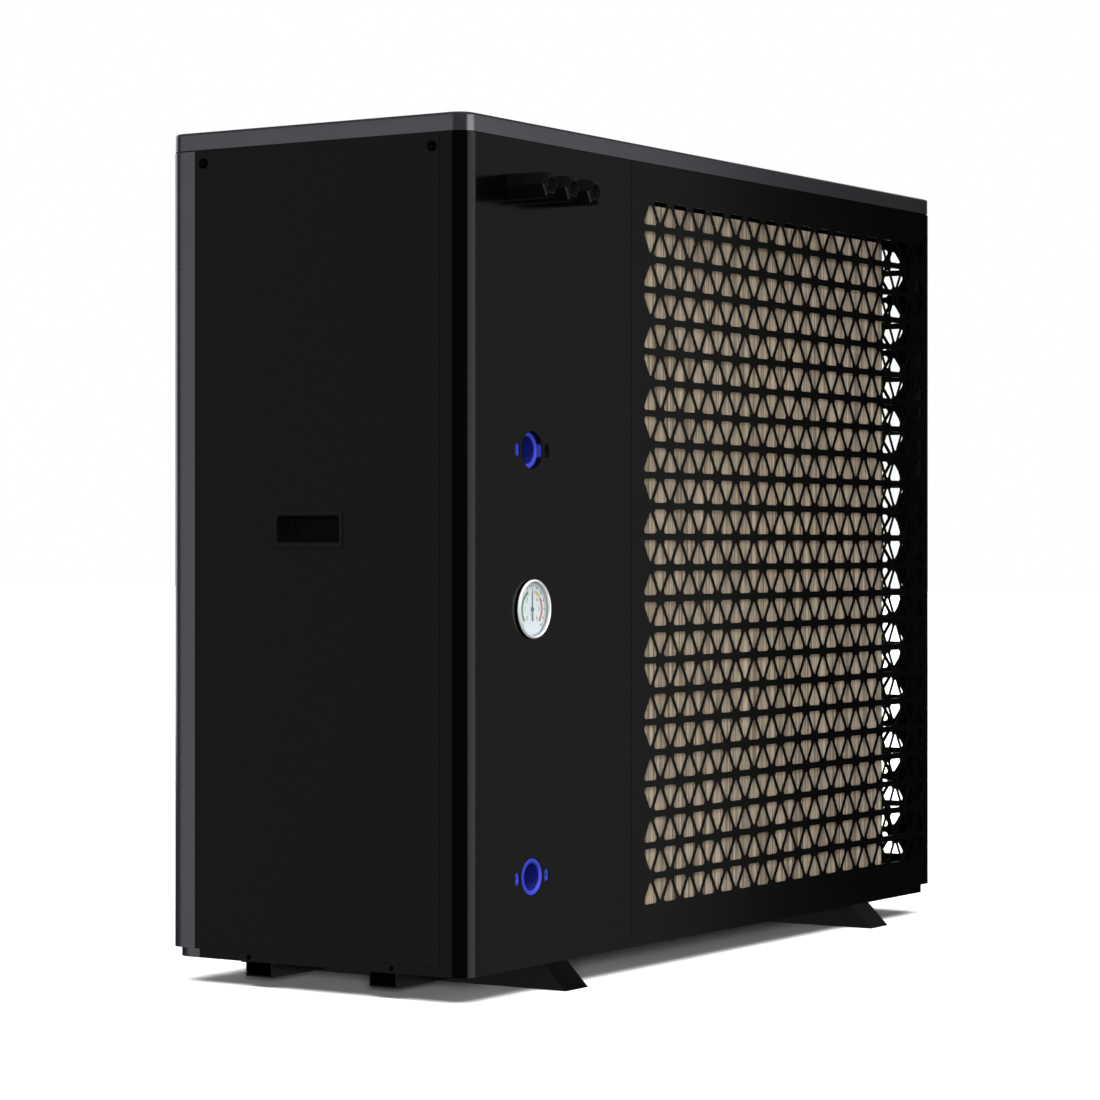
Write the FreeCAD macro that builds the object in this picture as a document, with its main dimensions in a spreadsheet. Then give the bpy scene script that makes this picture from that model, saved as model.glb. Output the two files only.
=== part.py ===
"""Pool and spa heat pump: a sheet-metal cabinet on two feet, with its refrigerant and water parts.

Frame: +Z up, +X towards the service end, +Y towards the back (coil side), origin on the floor
under the middle of the cabinet.  Millimetres.
"""
import FreeCAD, Part
import math
import os
import re

from FreeCAD import Rotation, Vector
from Sketcher import Constraint

doc = FreeCAD.newDocument("heat_pump")
NODES = []

# ---------------------------------------------------------------- driving dimensions
# a size that starts with = follows others: the upper parts keep their distance from the top
DIMENSIONS = {
    # cabinet
    "body_length": 1120, "body_depth": 404, "total_height": 951,
    "sheet": 1.2, "corner_radius": 21, "seam": 0.8, "play": 0.4,
    # base: pan, skirt, rails and feet
    "foot_height": 28, "skirt_height": 10, "pan_height": 34,
    "front_setback": 10, "fan_end_setback": 21,
    "foot_width": 46, "foot_reach_back": 28, "foot_reach_front": 6, "foot_sheet": 2,
    "foot_service_inset": 179, "foot_fan_inset": 212, "anchor_radius": 4.5, "anchor_inset": 48,
    "rail_width": 50, "rail_body": 36, "rail_drop": 16.5, "rail_spacing": 168, "rail_middle": 9,
    "rail_sheet": 1.5,
    # cover and panels
    "cover_skirt": 20, "cover_inset": 1, "cover_gap": 1.5, "frame_height": 50,
    "panel_wrap": 36, "service_length": 341, "flange": 20,
    # perforated panels
    "row_pitch": 35.7, "grille_margin": 35, "grille_drop": 2.75,
    "hole_pitch": 44.6, "hole_base": 35, "hole_height": 28,
    "hole_radius": 3.8, "grille_first": 384, "grille_count": 32,
    "panel_tall": "=total_height - cover_skirt - cover_gap - foot_height - skirt_height",
    "grille_rows": "=floor((panel_tall - 2 * grille_margin - hole_height) / row_pitch) + 1",
    "grille_middle": "=foot_height + skirt_height + panel_tall / 2 - grille_drop",
    "end_grille_count": 12, "end_grille_start": 45,
    # connections on the service back panel, from the service end
    "port_inset": 131, "inlet_level": 126, "outlet_level": "=exchanger_top - 67",
    "gauge_level": "=outlet_level - 174",
    "port_bore": 15, "port_ring": 20.5, "port_play": 0.5, "ear_spacing": 59, "ear_height": 15,
    "slot_width": 9, "outlet_recess": 6, "ear_screw_radius": 2,
    "gland_level": "=total_height - 74", "gland_inset": 137, "gland_spacing": 45, "gland_flats": 27.7,
    "gland_shank": 11, "gland_bore": 8, "nut_bore": 7, "gland_base": 16, "gland_nut": 24,
    "gauge_radius": 32.5, "dial_radius": 29, "gauge_stand": 5, "gauge_depth": 26, "staff_radius": 1.2, "needle_tail": 13,
    # handle in the side panel
    "handle_length": 94, "handle_tall": 41.5, "handle_open_length": 83, "handle_open_tall": 28.3,
    "handle_depth": 28, "handle_level": "=total_height / 2 + 31", "handle_y": -5, "handle_rim": 1.5,
    # coil
    "coil_setback": 31, "coil_depth": 44, "coil_end": 1030, "coil_start": 372,
    "coil_tall": "=panel_tall - 65.5", "coil_plate": 2, "tube_pitch": 25.4, "tube_radius": 4.8,
    # fan
    "fan_radius": 300, "fan_opening": 318, "fan_inset": "=body_length * 0.653125",
    "fan_hub": 75, "fan_blades": 3,
    "shaft_radius": 6, "fan_depth": 90, "motor_radius": 62, "motor_length": 80, "guard_depth": 9,
    "bracket_bar": 30, "bracket_sheet": 3, "bracket_half": 105,
    # service compartment
    "compressor_radius": 62, "compressor_tall": 300, "compressor_inset": 260, "compressor_y": -75,
    "tank_radius": 30, "tank_tall": 190, "tank_rise": 92, "tank_gap": 26,
    "exchanger_radius": 80, "exchanger_y": 68, "exchanger_bottom": 62,
    "exchanger_top": "=box_bottom - 100", "box_bottom": "=total_height - 191",
    "box_tall": 140, "box_front": -160, "box_back": 150, "box_sheet": 1.5,
    "display_inset": 115, "display_length": 120, "display_low": "=total_height - 261", "display_tall": 80,
    "pipe_radius": 6.35, "drain_radius": 8, "drain_reach": 24,
}
SCREW_HEAD = 5.75       # radius of a pan-head screw
SCREW_HEAD_TALL = 3.0
SCREW_SHANK = 2.4

sheet = doc.addObject("Spreadsheet::Sheet", "dims")
for row, alias in enumerate(DIMENSIONS, start=1):
    sheet.set("A%d" % row, alias)
    sheet.setAlias("B%d" % row, alias)
for row, size in enumerate(DIMENSIONS.values(), start=1):
    sheet.set("B%d" % row, str(size))
doc.recompute()
SIZES = {alias: float(sheet.get(alias)) for alias in DIMENSIONS}


# ---------------------------------------------------------------- helpers
def formula(text):
    """Turn a sum of dimension names into an expression on the sheet's cells."""
    def cell(match):
        word = match.group(0)
        return "dims." + word if word in DIMENSIONS else word
    return re.sub(r"[a-z]\w*", cell, str(text))


def value(text):
    """The present value of such a sum, for shapes that are worked out in this file."""
    total = re.sub(r"[a-z]\w*", lambda word: repr(SIZES[word.group(0)]), str(text))
    return float(FreeCAD.Units.Quantity(total).Value)


def bind(thing, **formulas):
    for name, text in formulas.items():
        thing.setExpression(name.replace("__", "."), formula(text))
    return thing


def place(thing, corner, rotation=None):
    """Bind the position to formulas; a turn, where there is one, is fixed."""
    if rotation is not None:
        thing.Placement = FreeCAD.Placement(Vector(), rotation)
    for axis, text in zip("xyz", corner):
        thing.setExpression("Placement.Base." + axis, formula(text))
    return thing


def box(label, low, high):
    """A block between two corners, each given as three formulas."""
    block = doc.addObject("Part::Box", label)
    sides = ["(%s) - (%s)" % (top, bottom) for bottom, top in zip(low, high)]
    bind(block, Length=sides[0], Width=sides[1], Height=sides[2])
    return place(block, low)


ALONG = {"x": Rotation(Vector(0, 1, 0), 90), "y": Rotation(Vector(1, 0, 0), -90), "z": Rotation()}


def cylinder(label, axis, radius, length, start):
    """A cylinder that starts at a point and runs towards plus x, y or z."""
    rod = doc.addObject("Part::Cylinder", label)
    bind(rod, Radius=radius, Height=length)
    return place(rod, start, ALONG[axis])


def hexagon(label, axis, flats, length, start):
    prism = doc.addObject("Part::Prism", label)
    prism.Polygon = 6
    bind(prism, Circumradius="(%s) / 1.7320508" % flats, Height=length)
    return place(prism, start, ALONG[axis])


def fuse(label, pieces):
    joined = doc.addObject("Part::MultiFuse", label)
    joined.Shapes = pieces
    return joined


def cut(label, base, tools):
    if len(tools) > 1:
        tool = fuse(label + "_tool", tools)
    else:
        tool = tools[0]
    result = doc.addObject("Part::Cut", label)
    result.Base = base
    result.Tool = tool
    return result


def common(label, base, tool):
    result = doc.addObject("Part::Common", label)
    result.Base = base
    result.Tool = tool
    return result


def group(label, pieces):
    """Several separate solids in one node."""
    held = doc.addObject("Part::Compound", label)
    held.Links = pieces
    return held


def node(thing, label=None):
    """Keep an object as one of the part's nodes."""
    if label:
        thing.Label = label
    NODES.append(thing)
    return thing


def origin_plane(body, role):
    return [plane for plane in body.Origin.OriginFeatures if plane.Role == role][0]


def rounded_block(label, low, high, radius):
    """A padded rectangle whose four upright edges are rounded."""
    body = doc.addObject("PartDesign::Body", label)
    sketch = body.newObject("Sketcher::SketchObject", label + "_outline")
    sketch.AttachmentSupport = (origin_plane(body, "XY_Plane"), [""])
    sketch.MapMode = "FlatFace"
    bind(sketch, AttachmentOffset__Base__z=low[2])
    x0, y0, x1, y1 = [value(text) for text in (low[0], low[1], high[0], high[1])]
    corners = [(x0, y0), (x1, y0), (x1, y1), (x0, y1)]
    for here, there in zip(corners, corners[1:] + corners[:1]):
        sketch.addGeometry(Part.LineSegment(Vector(*here), Vector(*there)))
    for line in range(4):
        sketch.addConstraint(Constraint("Coincident", line, 2, (line + 1) % 4, 1))
        sketch.addConstraint(Constraint("Horizontal" if line % 2 == 0 else "Vertical", line))
    for line, text_x, text_y in ((0, low[0], low[1]), (2, high[0], high[1])):
        for kind, text in (("DistanceX", text_x), ("DistanceY", text_y)):
            index = sketch.addConstraint(Constraint(kind, -1, 1, line, 1, value(text)))
            sketch.setExpression("Constraints[%d]" % index, formula(text))
    pad = body.newObject("PartDesign::Pad", label + "_pad")
    pad.Profile = sketch
    bind(pad, Length="(%s) - (%s)" % (high[2], low[2]))
    doc.recompute()
    upright = []
    for index, edge in enumerate(pad.Shape.Edges, start=1):
        if abs(edge.Vertexes[0].Z - edge.Vertexes[-1].Z) > 1e-3:
            upright.append("Edge%d" % index)
    fillet = body.newObject("PartDesign::Fillet", label + "_fillet")
    fillet.Base = (pad, upright)
    bind(fillet, Radius=radius)
    doc.recompute()
    return body


def profile_bar(label, plane, points, start, length):
    """A polygon on an origin plane, padded by a length; every corner is bound to the sheet."""
    body = doc.addObject("PartDesign::Body", label)
    sketch = body.newObject("Sketcher::SketchObject", label + "_outline")
    sketch.AttachmentSupport = (origin_plane(body, plane), [""])
    sketch.MapMode = "FlatFace"
    bind(sketch, AttachmentOffset__Base__z=start)
    spots = [(value(across), value(up)) for across, up in points]
    for here, there in zip(spots, spots[1:] + spots[:1]):
        sketch.addGeometry(Part.LineSegment(Vector(*here), Vector(*there)))
    count = len(points)
    for line, (across, up) in enumerate(points):
        sketch.addConstraint(Constraint("Coincident", line, 2, (line + 1) % count, 1))
        for kind, text in (("DistanceX", across), ("DistanceY", up)):
            index = sketch.addConstraint(Constraint(kind, -1, 1, line, 1, value(text)))
            sketch.setExpression("Constraints[%d]" % index, formula(text))
    pad = body.newObject("PartDesign::Pad", label + "_pad")
    pad.Profile = sketch
    bind(pad, Length=length)
    doc.recompute()
    return body


def own_shape(label, shape):
    """A piece whose shape is worked out here from the sheet's values."""
    piece = doc.addObject("Part::Feature", label)
    piece.Shape = shape
    piece.Placement = FreeCAD.Placement()
    return piece


def screw(label, axis, start, head=SCREW_HEAD, tall=SCREW_HEAD_TALL, thick=SCREW_SHANK, shank="6"):
    """A pan-head screw: the head stands out of the face at start, the shank goes in."""
    shank_from = dict(zip("xyz", start))
    shank_from[axis] = "%s - %s" % (shank_from[axis], shank)
    top = cylinder(label + "_head", axis, head, tall, start)
    rod = cylinder(label + "_shank", axis, thick, shank, list(shank_from.values()))
    return fuse(label, [top, rod])


def pipe(label, points, radius, bend):
    """A round pipe along straight runs joined by tangent arcs of one bend radius."""
    spots = [Vector(*[value(text) for text in point]) for point in points]
    bend = value(bend)
    edges, here = [], spots[0]
    for before, corner, after in zip(spots, spots[1:], spots[2:]):
        into = (corner - before).normalize()
        out = (after - corner).normalize()
        turn = into.getAngle(out)
        back = bend * math.tan(turn / 2)
        first, last = corner - into * back, corner + out * back
        middle = corner + (out - into).normalize() * (bend / math.cos(turn / 2) - bend)
        edges += [Part.LineSegment(here, first).toShape(), Part.Arc(first, middle, last).toShape()]
        here = last
    edges.append(Part.LineSegment(here, spots[-1]).toShape())
    path = Part.Wire(edges)
    circle = Part.Circle(spots[0], spots[1] - spots[0], value(radius)).toShape()
    return own_shape(label, path.makePipeShell([Part.Wire([circle])], True, False))


# ---------------------------------------------------------------- shared places
SERVICE, FAN_END = "body_length / 2", "0 - body_length / 2"
BACK, FRONT = "body_depth / 2", "0 - body_depth / 2"
PAN_FLOOR = "foot_height + sheet"
PAN_HIGH = "foot_height + pan_height"
PANEL_LOW = "foot_height + skirt_height"
COVER_LOW = "total_height - cover_skirt"
PANEL_HIGH = "total_height - cover_skirt - cover_gap"
FRAME_LOW = "total_height - cover_skirt - cover_gap - frame_height + 20"
PORT_X = "body_length / 2 - port_inset"
BACK_WRAP = "body_depth / 2 - panel_wrap + 3"
FRONT_WRAP = "0 - body_depth / 2 + panel_wrap + 3"
SEAM_X = "body_length / 2 - service_length"
BASE_FRONT = "0 - body_depth / 2 + front_setback"
BASE_END = "0 - body_length / 2 + fan_end_setback"
POST_X = "0 - body_length / 2 + corner_radius + 1"
FAN_X = "body_length / 2 - fan_inset"
COMPRESSOR_X = "body_length / 2 - compressor_inset"
DISPLAY = (("body_length / 2 - display_inset - display_length", "display_low"),
           ("body_length / 2 - display_inset", "display_low + display_tall"))
FEET = {"foot_service": "body_length / 2 - foot_service_inset",
        "foot_fan": "0 - body_length / 2 + foot_fan_inset"}


def far(text, amount="1"):
    return "%s + (%s)" % (text, amount)


def near(text, amount="1"):
    return "%s - (%s)" % (text, amount)


# ---------------------------------------------------------------- base
def base_ring(label, low, high):
    """The skirt's ring, whole: two sheets of it are cut from this."""
    outer = rounded_block(label + "_outer", (BASE_END, BASE_FRONT, low), (SERVICE, BACK, high),
                          "corner_radius")
    inner = rounded_block(label + "_inner",
                          (far(BASE_END, "sheet"), far(BASE_FRONT, "sheet"), near(low)),
                          (near(SERVICE, "sheet"), near(BACK, "sheet"), far(high)),
                          "corner_radius - sheet")
    return cut(label, outer, [inner])


def base_pan():
    low = "foot_height"
    high = "foot_height + pan_height"
    outer = rounded_block("pan_outer", (far(BASE_END, "sheet"), far(BASE_FRONT, "sheet"), low),
                          (near(SERVICE, "sheet"), near(BACK, "sheet"), high),
                          "corner_radius - sheet")
    hollow = rounded_block("pan_hollow",
                           (far(BASE_END, "2 * sheet"), far(BASE_FRONT, "2 * sheet"), far(low, "sheet")),
                           (near(SERVICE, "2 * sheet"), near(BACK, "2 * sheet"), far(high)),
                           "corner_radius - 2 * sheet")
    drain = cylinder("pan_drain", "z", "drain_radius + 1", "sheet + 2", ("0", "0", near(low)))
    recess = box("pan_recess", (near(SERVICE, "sheet + play"), FRONT_WRAP, PANEL_LOW),
                 (SERVICE, BACK_WRAP, far(high)))
    node(cut("base_pan", outer, [hollow, drain, recess] + base_screw_holes()))


def drain_spigot():
    """The condensate outlet: a hose tail under the pan, held by a flange above and a collar below."""
    spot = lambda z: ("0", "0", z)
    tail = cylinder("drain_tail", "z", "drain_radius", "drain_reach", spot("foot_height - drain_reach"))
    neck = cylinder("drain_neck", "z", "drain_radius + 0.8", "sheet", spot("foot_height"))
    collar = cylinder("drain_collar", "z", "drain_radius + 5", "4", spot("foot_height - 4"))
    flange = cylinder("drain_flange", "z", "drain_radius + 6", "2", spot(PAN_FLOOR))
    bore = cylinder("drain_bore", "z", "drain_radius - 2", "drain_reach + 10",
                    spot("foot_height - drain_reach - 2"))
    node(cut("drain_spigot", fuse("drain_whole", [tail, neck, collar, flange]), [bore]))


BASE_SCREW_Y = ("0 - 87", "106")


def base_screw_holes():
    return [cylinder("base_screw_hole", "x", 1.4, "6", (near(SERVICE, 5), y, "foot_height + 5"))
            for y in BASE_SCREW_Y]


def base_screws():
    """Two small screws that hold the skirt to the pan at the service end."""
    node(group("base_screws", [screw("base_screw", "x", (SERVICE, y, "foot_height + 5"), head=2.8, tall=1.4,
                                     thick=1.4, shank="4") for y in BASE_SCREW_Y]))


def base_skirts():
    ring = base_ring("skirt_ring", "foot_height", PANEL_LOW)
    split = "0 - body_depth / 2 + front_setback + panel_wrap"
    ahead = box("sill_half", (near(BASE_END, 5), near(BASE_FRONT, 5), "foot_height - 1"),
                (far(SERVICE, 5), split, far(PANEL_LOW)))
    behind = box("skirt_half", (near(BASE_END, 5), split, "foot_height - 1"),
                 (far(SERVICE, 5), far(BACK, 5), far(PANEL_LOW)))
    node(common("front_sill", ring, ahead))
    node(cut("base_skirt", common("skirt_sheet", ring, behind), base_screw_holes()))


def foot(label, middle):
    """A channel across the base: sloped ends, open below between two anchor plates."""
    front, back = near(FRONT, "foot_reach_front"), far(BACK, "foot_reach_back")
    left = near(middle, "foot_width / 2")
    outer = profile_bar(label + "_block", "YZ_Plane",
                        [(front, 0), (back, 0), (near(back, "foot_height"), "foot_height"),
                         (far(front, "foot_height"), "foot_height")], left, "foot_width")
    inner = profile_bar(label + "_hollow", "YZ_Plane",
                        [(far(front, "2.4 * foot_sheet"), "foot_sheet"),
                         (near(back, "2.4 * foot_sheet"), "foot_sheet"),
                         (near(back, "foot_height + 0.4 * foot_sheet"), "foot_height - foot_sheet"),
                         (far(front, "foot_height + 0.4 * foot_sheet"), "foot_height - foot_sheet")],
                        far(left, "foot_sheet"), "foot_width - 2 * foot_sheet")
    belly = box(label + "_belly", (far(left, "foot_sheet"), far(front, "2 * anchor_inset"), "-1"),
                (far(left, "foot_width - foot_sheet"), near(back, "2 * anchor_inset"), "foot_sheet + 1"))
    tools = [inner, belly]
    for side in (-1, 1):
        rail_y = "rail_middle + %d * rail_spacing / 2" % side
        tools.append(box(label + "_notch", (near(left), near(rail_y, "rail_width / 2"),
                                            "foot_height - rail_drop"),
                         (far(left, "foot_width + 1"), far(rail_y, "rail_width / 2"),
                          far("foot_height"))))
    for end in (far(front, "anchor_inset"), near(back, "anchor_inset")):
        tools.append(cylinder(label + "_anchor", "z", "anchor_radius", "foot_sheet + 2", (middle, end, "-1")))
    node(cut(label, outer, tools))


def rail(label, side):
    """A hat section that runs the length of the base: two flanges under the pan and a deep middle."""
    middle = "rail_middle + %d * rail_spacing / 2" % side
    low, high = "foot_height - rail_drop", "foot_height"
    half = []
    for sign in (-1, 1):
        edge = "%s + %d * rail_width / 2" % (middle, sign)
        wall = "%s + %d * rail_body / 2" % (middle, sign)
        inside = "%s + %d * (rail_body / 2 - rail_sheet)" % (middle, sign)
        half.append([(wall, low), (wall, near(high, "rail_sheet")), (edge, near(high, "rail_sheet")),
                     (edge, high), (inside, high), (inside, far(low, "rail_sheet"))])
    start = far(BASE_END, 3)
    node(profile_bar(label, "YZ_Plane", half[1] + half[0][::-1], start,
                     "(%s) - (%s)" % (near(SERVICE, 3), start)))


# ---------------------------------------------------------------- cabinet sheets
def cabinet_ring():
    """The cabinet's outer sheet, whole: front, corner and back panels are cut from it."""
    outer = rounded_block("cabinet_outer", (FAN_END, FRONT, PANEL_LOW), (SERVICE, BACK, PANEL_HIGH),
                          "corner_radius")
    inner = rounded_block("cabinet_inner",
                          (far(FAN_END, "sheet"), far(FRONT, "sheet"), near(PANEL_LOW)),
                          (near(SERVICE, "sheet"), near(BACK, "sheet"), far(PANEL_HIGH)),
                          "corner_radius - sheet")
    return cut("cabinet_ring", outer, [inner])


def return_flange(label, x_low, x_high, y_low, y_high):
    """A panel's inward fold, between the pan's wall and the top frame."""
    return box(label, (x_low, y_low, PAN_HIGH), (x_high, y_high, FRAME_LOW))


def front_panel(ring):
    half = box("front_half", (near(FAN_END, 5), near(FRONT, 5), near(PANEL_LOW)),
               (far(SERVICE, 5), FRONT_WRAP, far(PANEL_HIGH)))
    shell = common("front_shell", ring, half)
    sides = [return_flange("front_flange_service", near(SERVICE, "flange"), near(SERVICE, "sheet"),
                           near(FRONT_WRAP, "sheet"), FRONT_WRAP),
             return_flange("front_flange_fan", far(FAN_END, "sheet"), far(FAN_END, "flange"),
                           near(FRONT_WRAP, "sheet"), FRONT_WRAP),
             box("front_hem", (far(BASE_END, "corner_radius"), far(FRONT, "sheet"), PANEL_LOW),
                 (near(SERVICE, "corner_radius"), far(BASE_FRONT, "sheet"), far(PANEL_LOW, "sheet")))]
    whole = fuse("front_whole", [shell] + sides)
    opening = cylinder("fan_hole", "y", "fan_opening", "sheet + 2",
                       (FAN_X, near(FRONT), "grille_middle"))
    (left, low), (right, high) = DISPLAY
    window = box("display_hole", (left, near(FRONT), low), (right, far(FRONT, "sheet + 1"), high))
    node(cut("front_panel", whole, [opening, window]))


def service_back_panel(ring):
    half = box("service_half", (far(SEAM_X, "seam / 2"), BACK_WRAP, near(PANEL_LOW)),
               (far(SERVICE, 5), far(BACK, 5), far(PANEL_HIGH)))
    shell = common("service_shell", ring, half)
    edge = return_flange("service_flange_side", near(SERVICE, "flange"), near(SERVICE, "sheet"),
                         BACK_WRAP, far(BACK_WRAP, "sheet"))
    seam_edge = return_flange("service_flange_seam", far(SEAM_X, "seam / 2"), far(SEAM_X, "seam / 2 + sheet"),
                              near(BACK, 14), near(BACK, "sheet"))
    whole = fuse("service_whole", [shell, edge, seam_edge])
    tools = []
    for level in ("outlet_level", "inlet_level"):
        tools.append(cylinder("port_opening", "y", "port_ring + port_play", "sheet + 2",
                              (PORT_X, near(BACK, "sheet + 1"), level)))
        for sign in (-1, 1):
            middle = "%s + %d * ear_spacing / 2" % (PORT_X, sign)
            rise = "(ear_height - slot_width) / 2"
            tools.append(box("slot_middle", (near(middle, "slot_width / 2"), near(BACK, "sheet + 1"),
                                             "%s - %s" % (level, rise)),
                             (far(middle, "slot_width / 2"), far(BACK), "%s + %s" % (level, rise))))
            for end in ("-", "+"):
                tools.append(cylinder("slot_end", "y", "slot_width / 2", "sheet + 2",
                                      (middle, near(BACK, "sheet + 1"), "%s %s %s" % (level, end, rise))))
    tools.append(cylinder("gauge_opening", "y", "dial_radius + 1", "sheet + 2",
                          (PORT_X, near(BACK, "sheet + 1"), "gauge_level")))
    for step in (-1, 0, 1):
        tools.append(cylinder("gland_opening", "y", "gland_shank + 0.3", "sheet + 2",
                              ("%s + %d * gland_spacing" % (GLAND_X, step), near(BACK, "sheet + 1"),
                               "gland_level")))
    node(cut("service_back_panel", whole, tools))


def corner_post(ring):
    half = box("post_half", (near(FAN_END, 5), BACK_WRAP, near(PANEL_LOW)),
               (POST_X, far(BACK, 5), far(PANEL_HIGH)))
    node(common("rear_corner_post", ring, half))


def triangle_wire(across, up, pointing):
    """One hole's outline in its own plane: a triangle with rounded corners, as (across, up) pairs."""
    base, tall, radius = value("hole_base"), value("hole_height"), value("hole_radius")
    points = [(pointing * base / 2, -pointing * tall / 2), (-pointing * base / 2, -pointing * tall / 2),
              (0, pointing * tall / 2)]
    corners = [Vector(across + side, up + rise, 0) for side, rise in points]
    edges, ends = [], []
    for number, corner in enumerate(corners):
        before, after = corners[number - 1], corners[(number + 1) % 3]
        into, out = (before - corner).normalize(), (after - corner).normalize()
        half_angle = into.getAngle(out) / 2
        reach = radius / math.tan(half_angle)
        bulge = radius / math.sin(half_angle) - radius
        ends.append((corner + into * reach, corner + (into + out).normalize() * bulge,
                     corner + out * reach))
    for number, (first, middle, last) in enumerate(ends):
        edges.append(Part.Arc(first, middle, last).toShape())
        edges.append(Part.LineSegment(last, ends[(number + 1) % 3][0]).toShape())
    return Part.Wire(edges)


def perforated(width, low, high, first, count):
    """A flat sheet in the XY plane (x across, y up) with rows of holes pointing up and down in turn."""
    rows, pitch = int(value("grille_rows")), value("hole_pitch") / 2
    outline = Part.makePolygon([Vector(0, low, 0), Vector(width, low, 0), Vector(width, high, 0),
                                Vector(0, high, 0), Vector(0, low, 0)])
    wires = [outline]
    top = value("grille_middle") + value("row_pitch") * (rows - 1) / 2
    for row in range(rows):
        for hole in range(count):
            pointing = 1 if (row + hole) % 2 == 0 else -1
            wire = triangle_wire(first + hole * pitch, top - row * value("row_pitch"), pointing)
            wires.append(wire)
    return Part.Face(wires).extrude(Vector(0, 0, value("sheet")))


def grille_panel():
    """The coil's guard: laid out flat as seen from behind, then stood up against the back face."""
    low, high = value(PANEL_LOW), value(PANEL_HIGH)
    start = value(SEAM_X) - value("seam") / 2
    first = start - (value(SERVICE) - value("grille_first"))
    flat = perforated(start - value(POST_X), low, high, first, int(value("grille_count")))
    stand = FreeCAD.Placement(Vector(start, value(BACK) - value("sheet"), 0),
                              Rotation(Vector(-1, 0, 0), Vector(0, 0, 1), Vector(0, 1, 0), "XYZ"))
    flat.Placement = stand
    piece = doc.addObject("Part::Feature", "grille_panel")
    piece.Shape = flat
    node(piece)


def fan_end_panel():
    low, high = value(PANEL_LOW), value(PANEL_HIGH)
    wide = value(BACK_WRAP) - value(FRONT_WRAP) - value("seam")
    first = value("end_grille_start") - value("panel_wrap") + value("hole_base") / 2
    flat = perforated(wide, low, high, first, int(value("end_grille_count")))
    stand = FreeCAD.Placement(Vector(value(FAN_END), value(BACK_WRAP) - value("seam") / 2, 0),
                              Rotation(Vector(0, -1, 0), Vector(0, 0, 1), Vector(-1, 0, 0), "XYZ"))
    flat.Placement = stand
    flat.translate(Vector(value("sheet"), 0, 0))
    piece = doc.addObject("Part::Feature", "fan_end_panel")
    piece.Shape = flat
    node(piece)


def side_panel():
    """The removable service panel, hung between the front and back panels' returns."""
    low, high = near(BACK_WRAP, "seam"), far(FRONT_WRAP, "seam")
    bottom, top = far(PANEL_LOW, "seam"), near(PANEL_HIGH, "seam")
    skin = box("side_skin", (near(SERVICE, "sheet"), high, bottom), (SERVICE, low, top))
    fold_low, fold_high = far(PAN_HIGH, "seam"), near(FRAME_LOW, "seam")
    turned = [box("side_return_back", (near(SERVICE, 12), near(low, "sheet"), fold_low),
                  (SERVICE, low, fold_high)),
              box("side_return_front", (near(SERVICE, 12), high, fold_low),
                  (SERVICE, far(high, "sheet"), fold_high))]
    whole = fuse("side_whole", [skin] + turned)
    opening = box("handle_opening",
                  (near(SERVICE, 3), "handle_y - handle_open_length / 2 - 2",
                   "handle_level - handle_open_tall / 2 - 2"),
                  (far(SERVICE), "handle_y + handle_open_length / 2 + 2",
                   "handle_level + handle_open_tall / 2 + 2"))
    holes = [cylinder("side_screw_hole", "x", SCREW_SHANK, "4", (near(SERVICE, 3), y, SIDE_SCREW_Z))
             for y in SIDE_SCREW_Y]
    node(cut("side_panel", whole, [opening] + holes))


def handle_cup():
    """A moulded cup: a rim that laps the panel outside and a pocket for the fingers."""
    inner_low = ("handle_y - handle_open_length / 2", "handle_level - handle_open_tall / 2")
    inner_high = ("handle_y + handle_open_length / 2", "handle_level + handle_open_tall / 2")
    rim = box("cup_rim", (SERVICE, "handle_y - handle_length / 2", "handle_level - handle_tall / 2"),
              (far(SERVICE, "handle_rim"), "handle_y + handle_length / 2", "handle_level + handle_tall / 2"))
    shell = box("cup_shell", (near(SERVICE, "handle_depth"), near(inner_low[0], 1.8), near(inner_low[1], 1.8)),
                (far(SERVICE, "handle_rim"), far(inner_high[0], 1.8), far(inner_high[1], 1.8)))
    hollow = box("cup_hollow", (near(SERVICE, "handle_depth - 1.8"), inner_low[0], inner_low[1]),
                 (far(SERVICE, "handle_rim + 1"), inner_high[0], inner_high[1]))
    node(cut("handle_cup", fuse("cup_whole", [rim, shell]), [hollow]))


SIDE_SCREW_Y = ("0 - body_depth / 2 + panel_wrap + 3 + 12", "body_depth / 2 - panel_wrap + 3 - 10")
SIDE_SCREW_Z = "total_height - cover_skirt - cover_gap - 14"
GLAND_X = "body_length / 2 - gland_inset"


def side_screws():
    node(group("side_panel_screws", [screw("side_screw_%d" % number, "x", (SERVICE, y, SIDE_SCREW_Z))
                                     for number, y in enumerate(SIDE_SCREW_Y)]))


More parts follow.
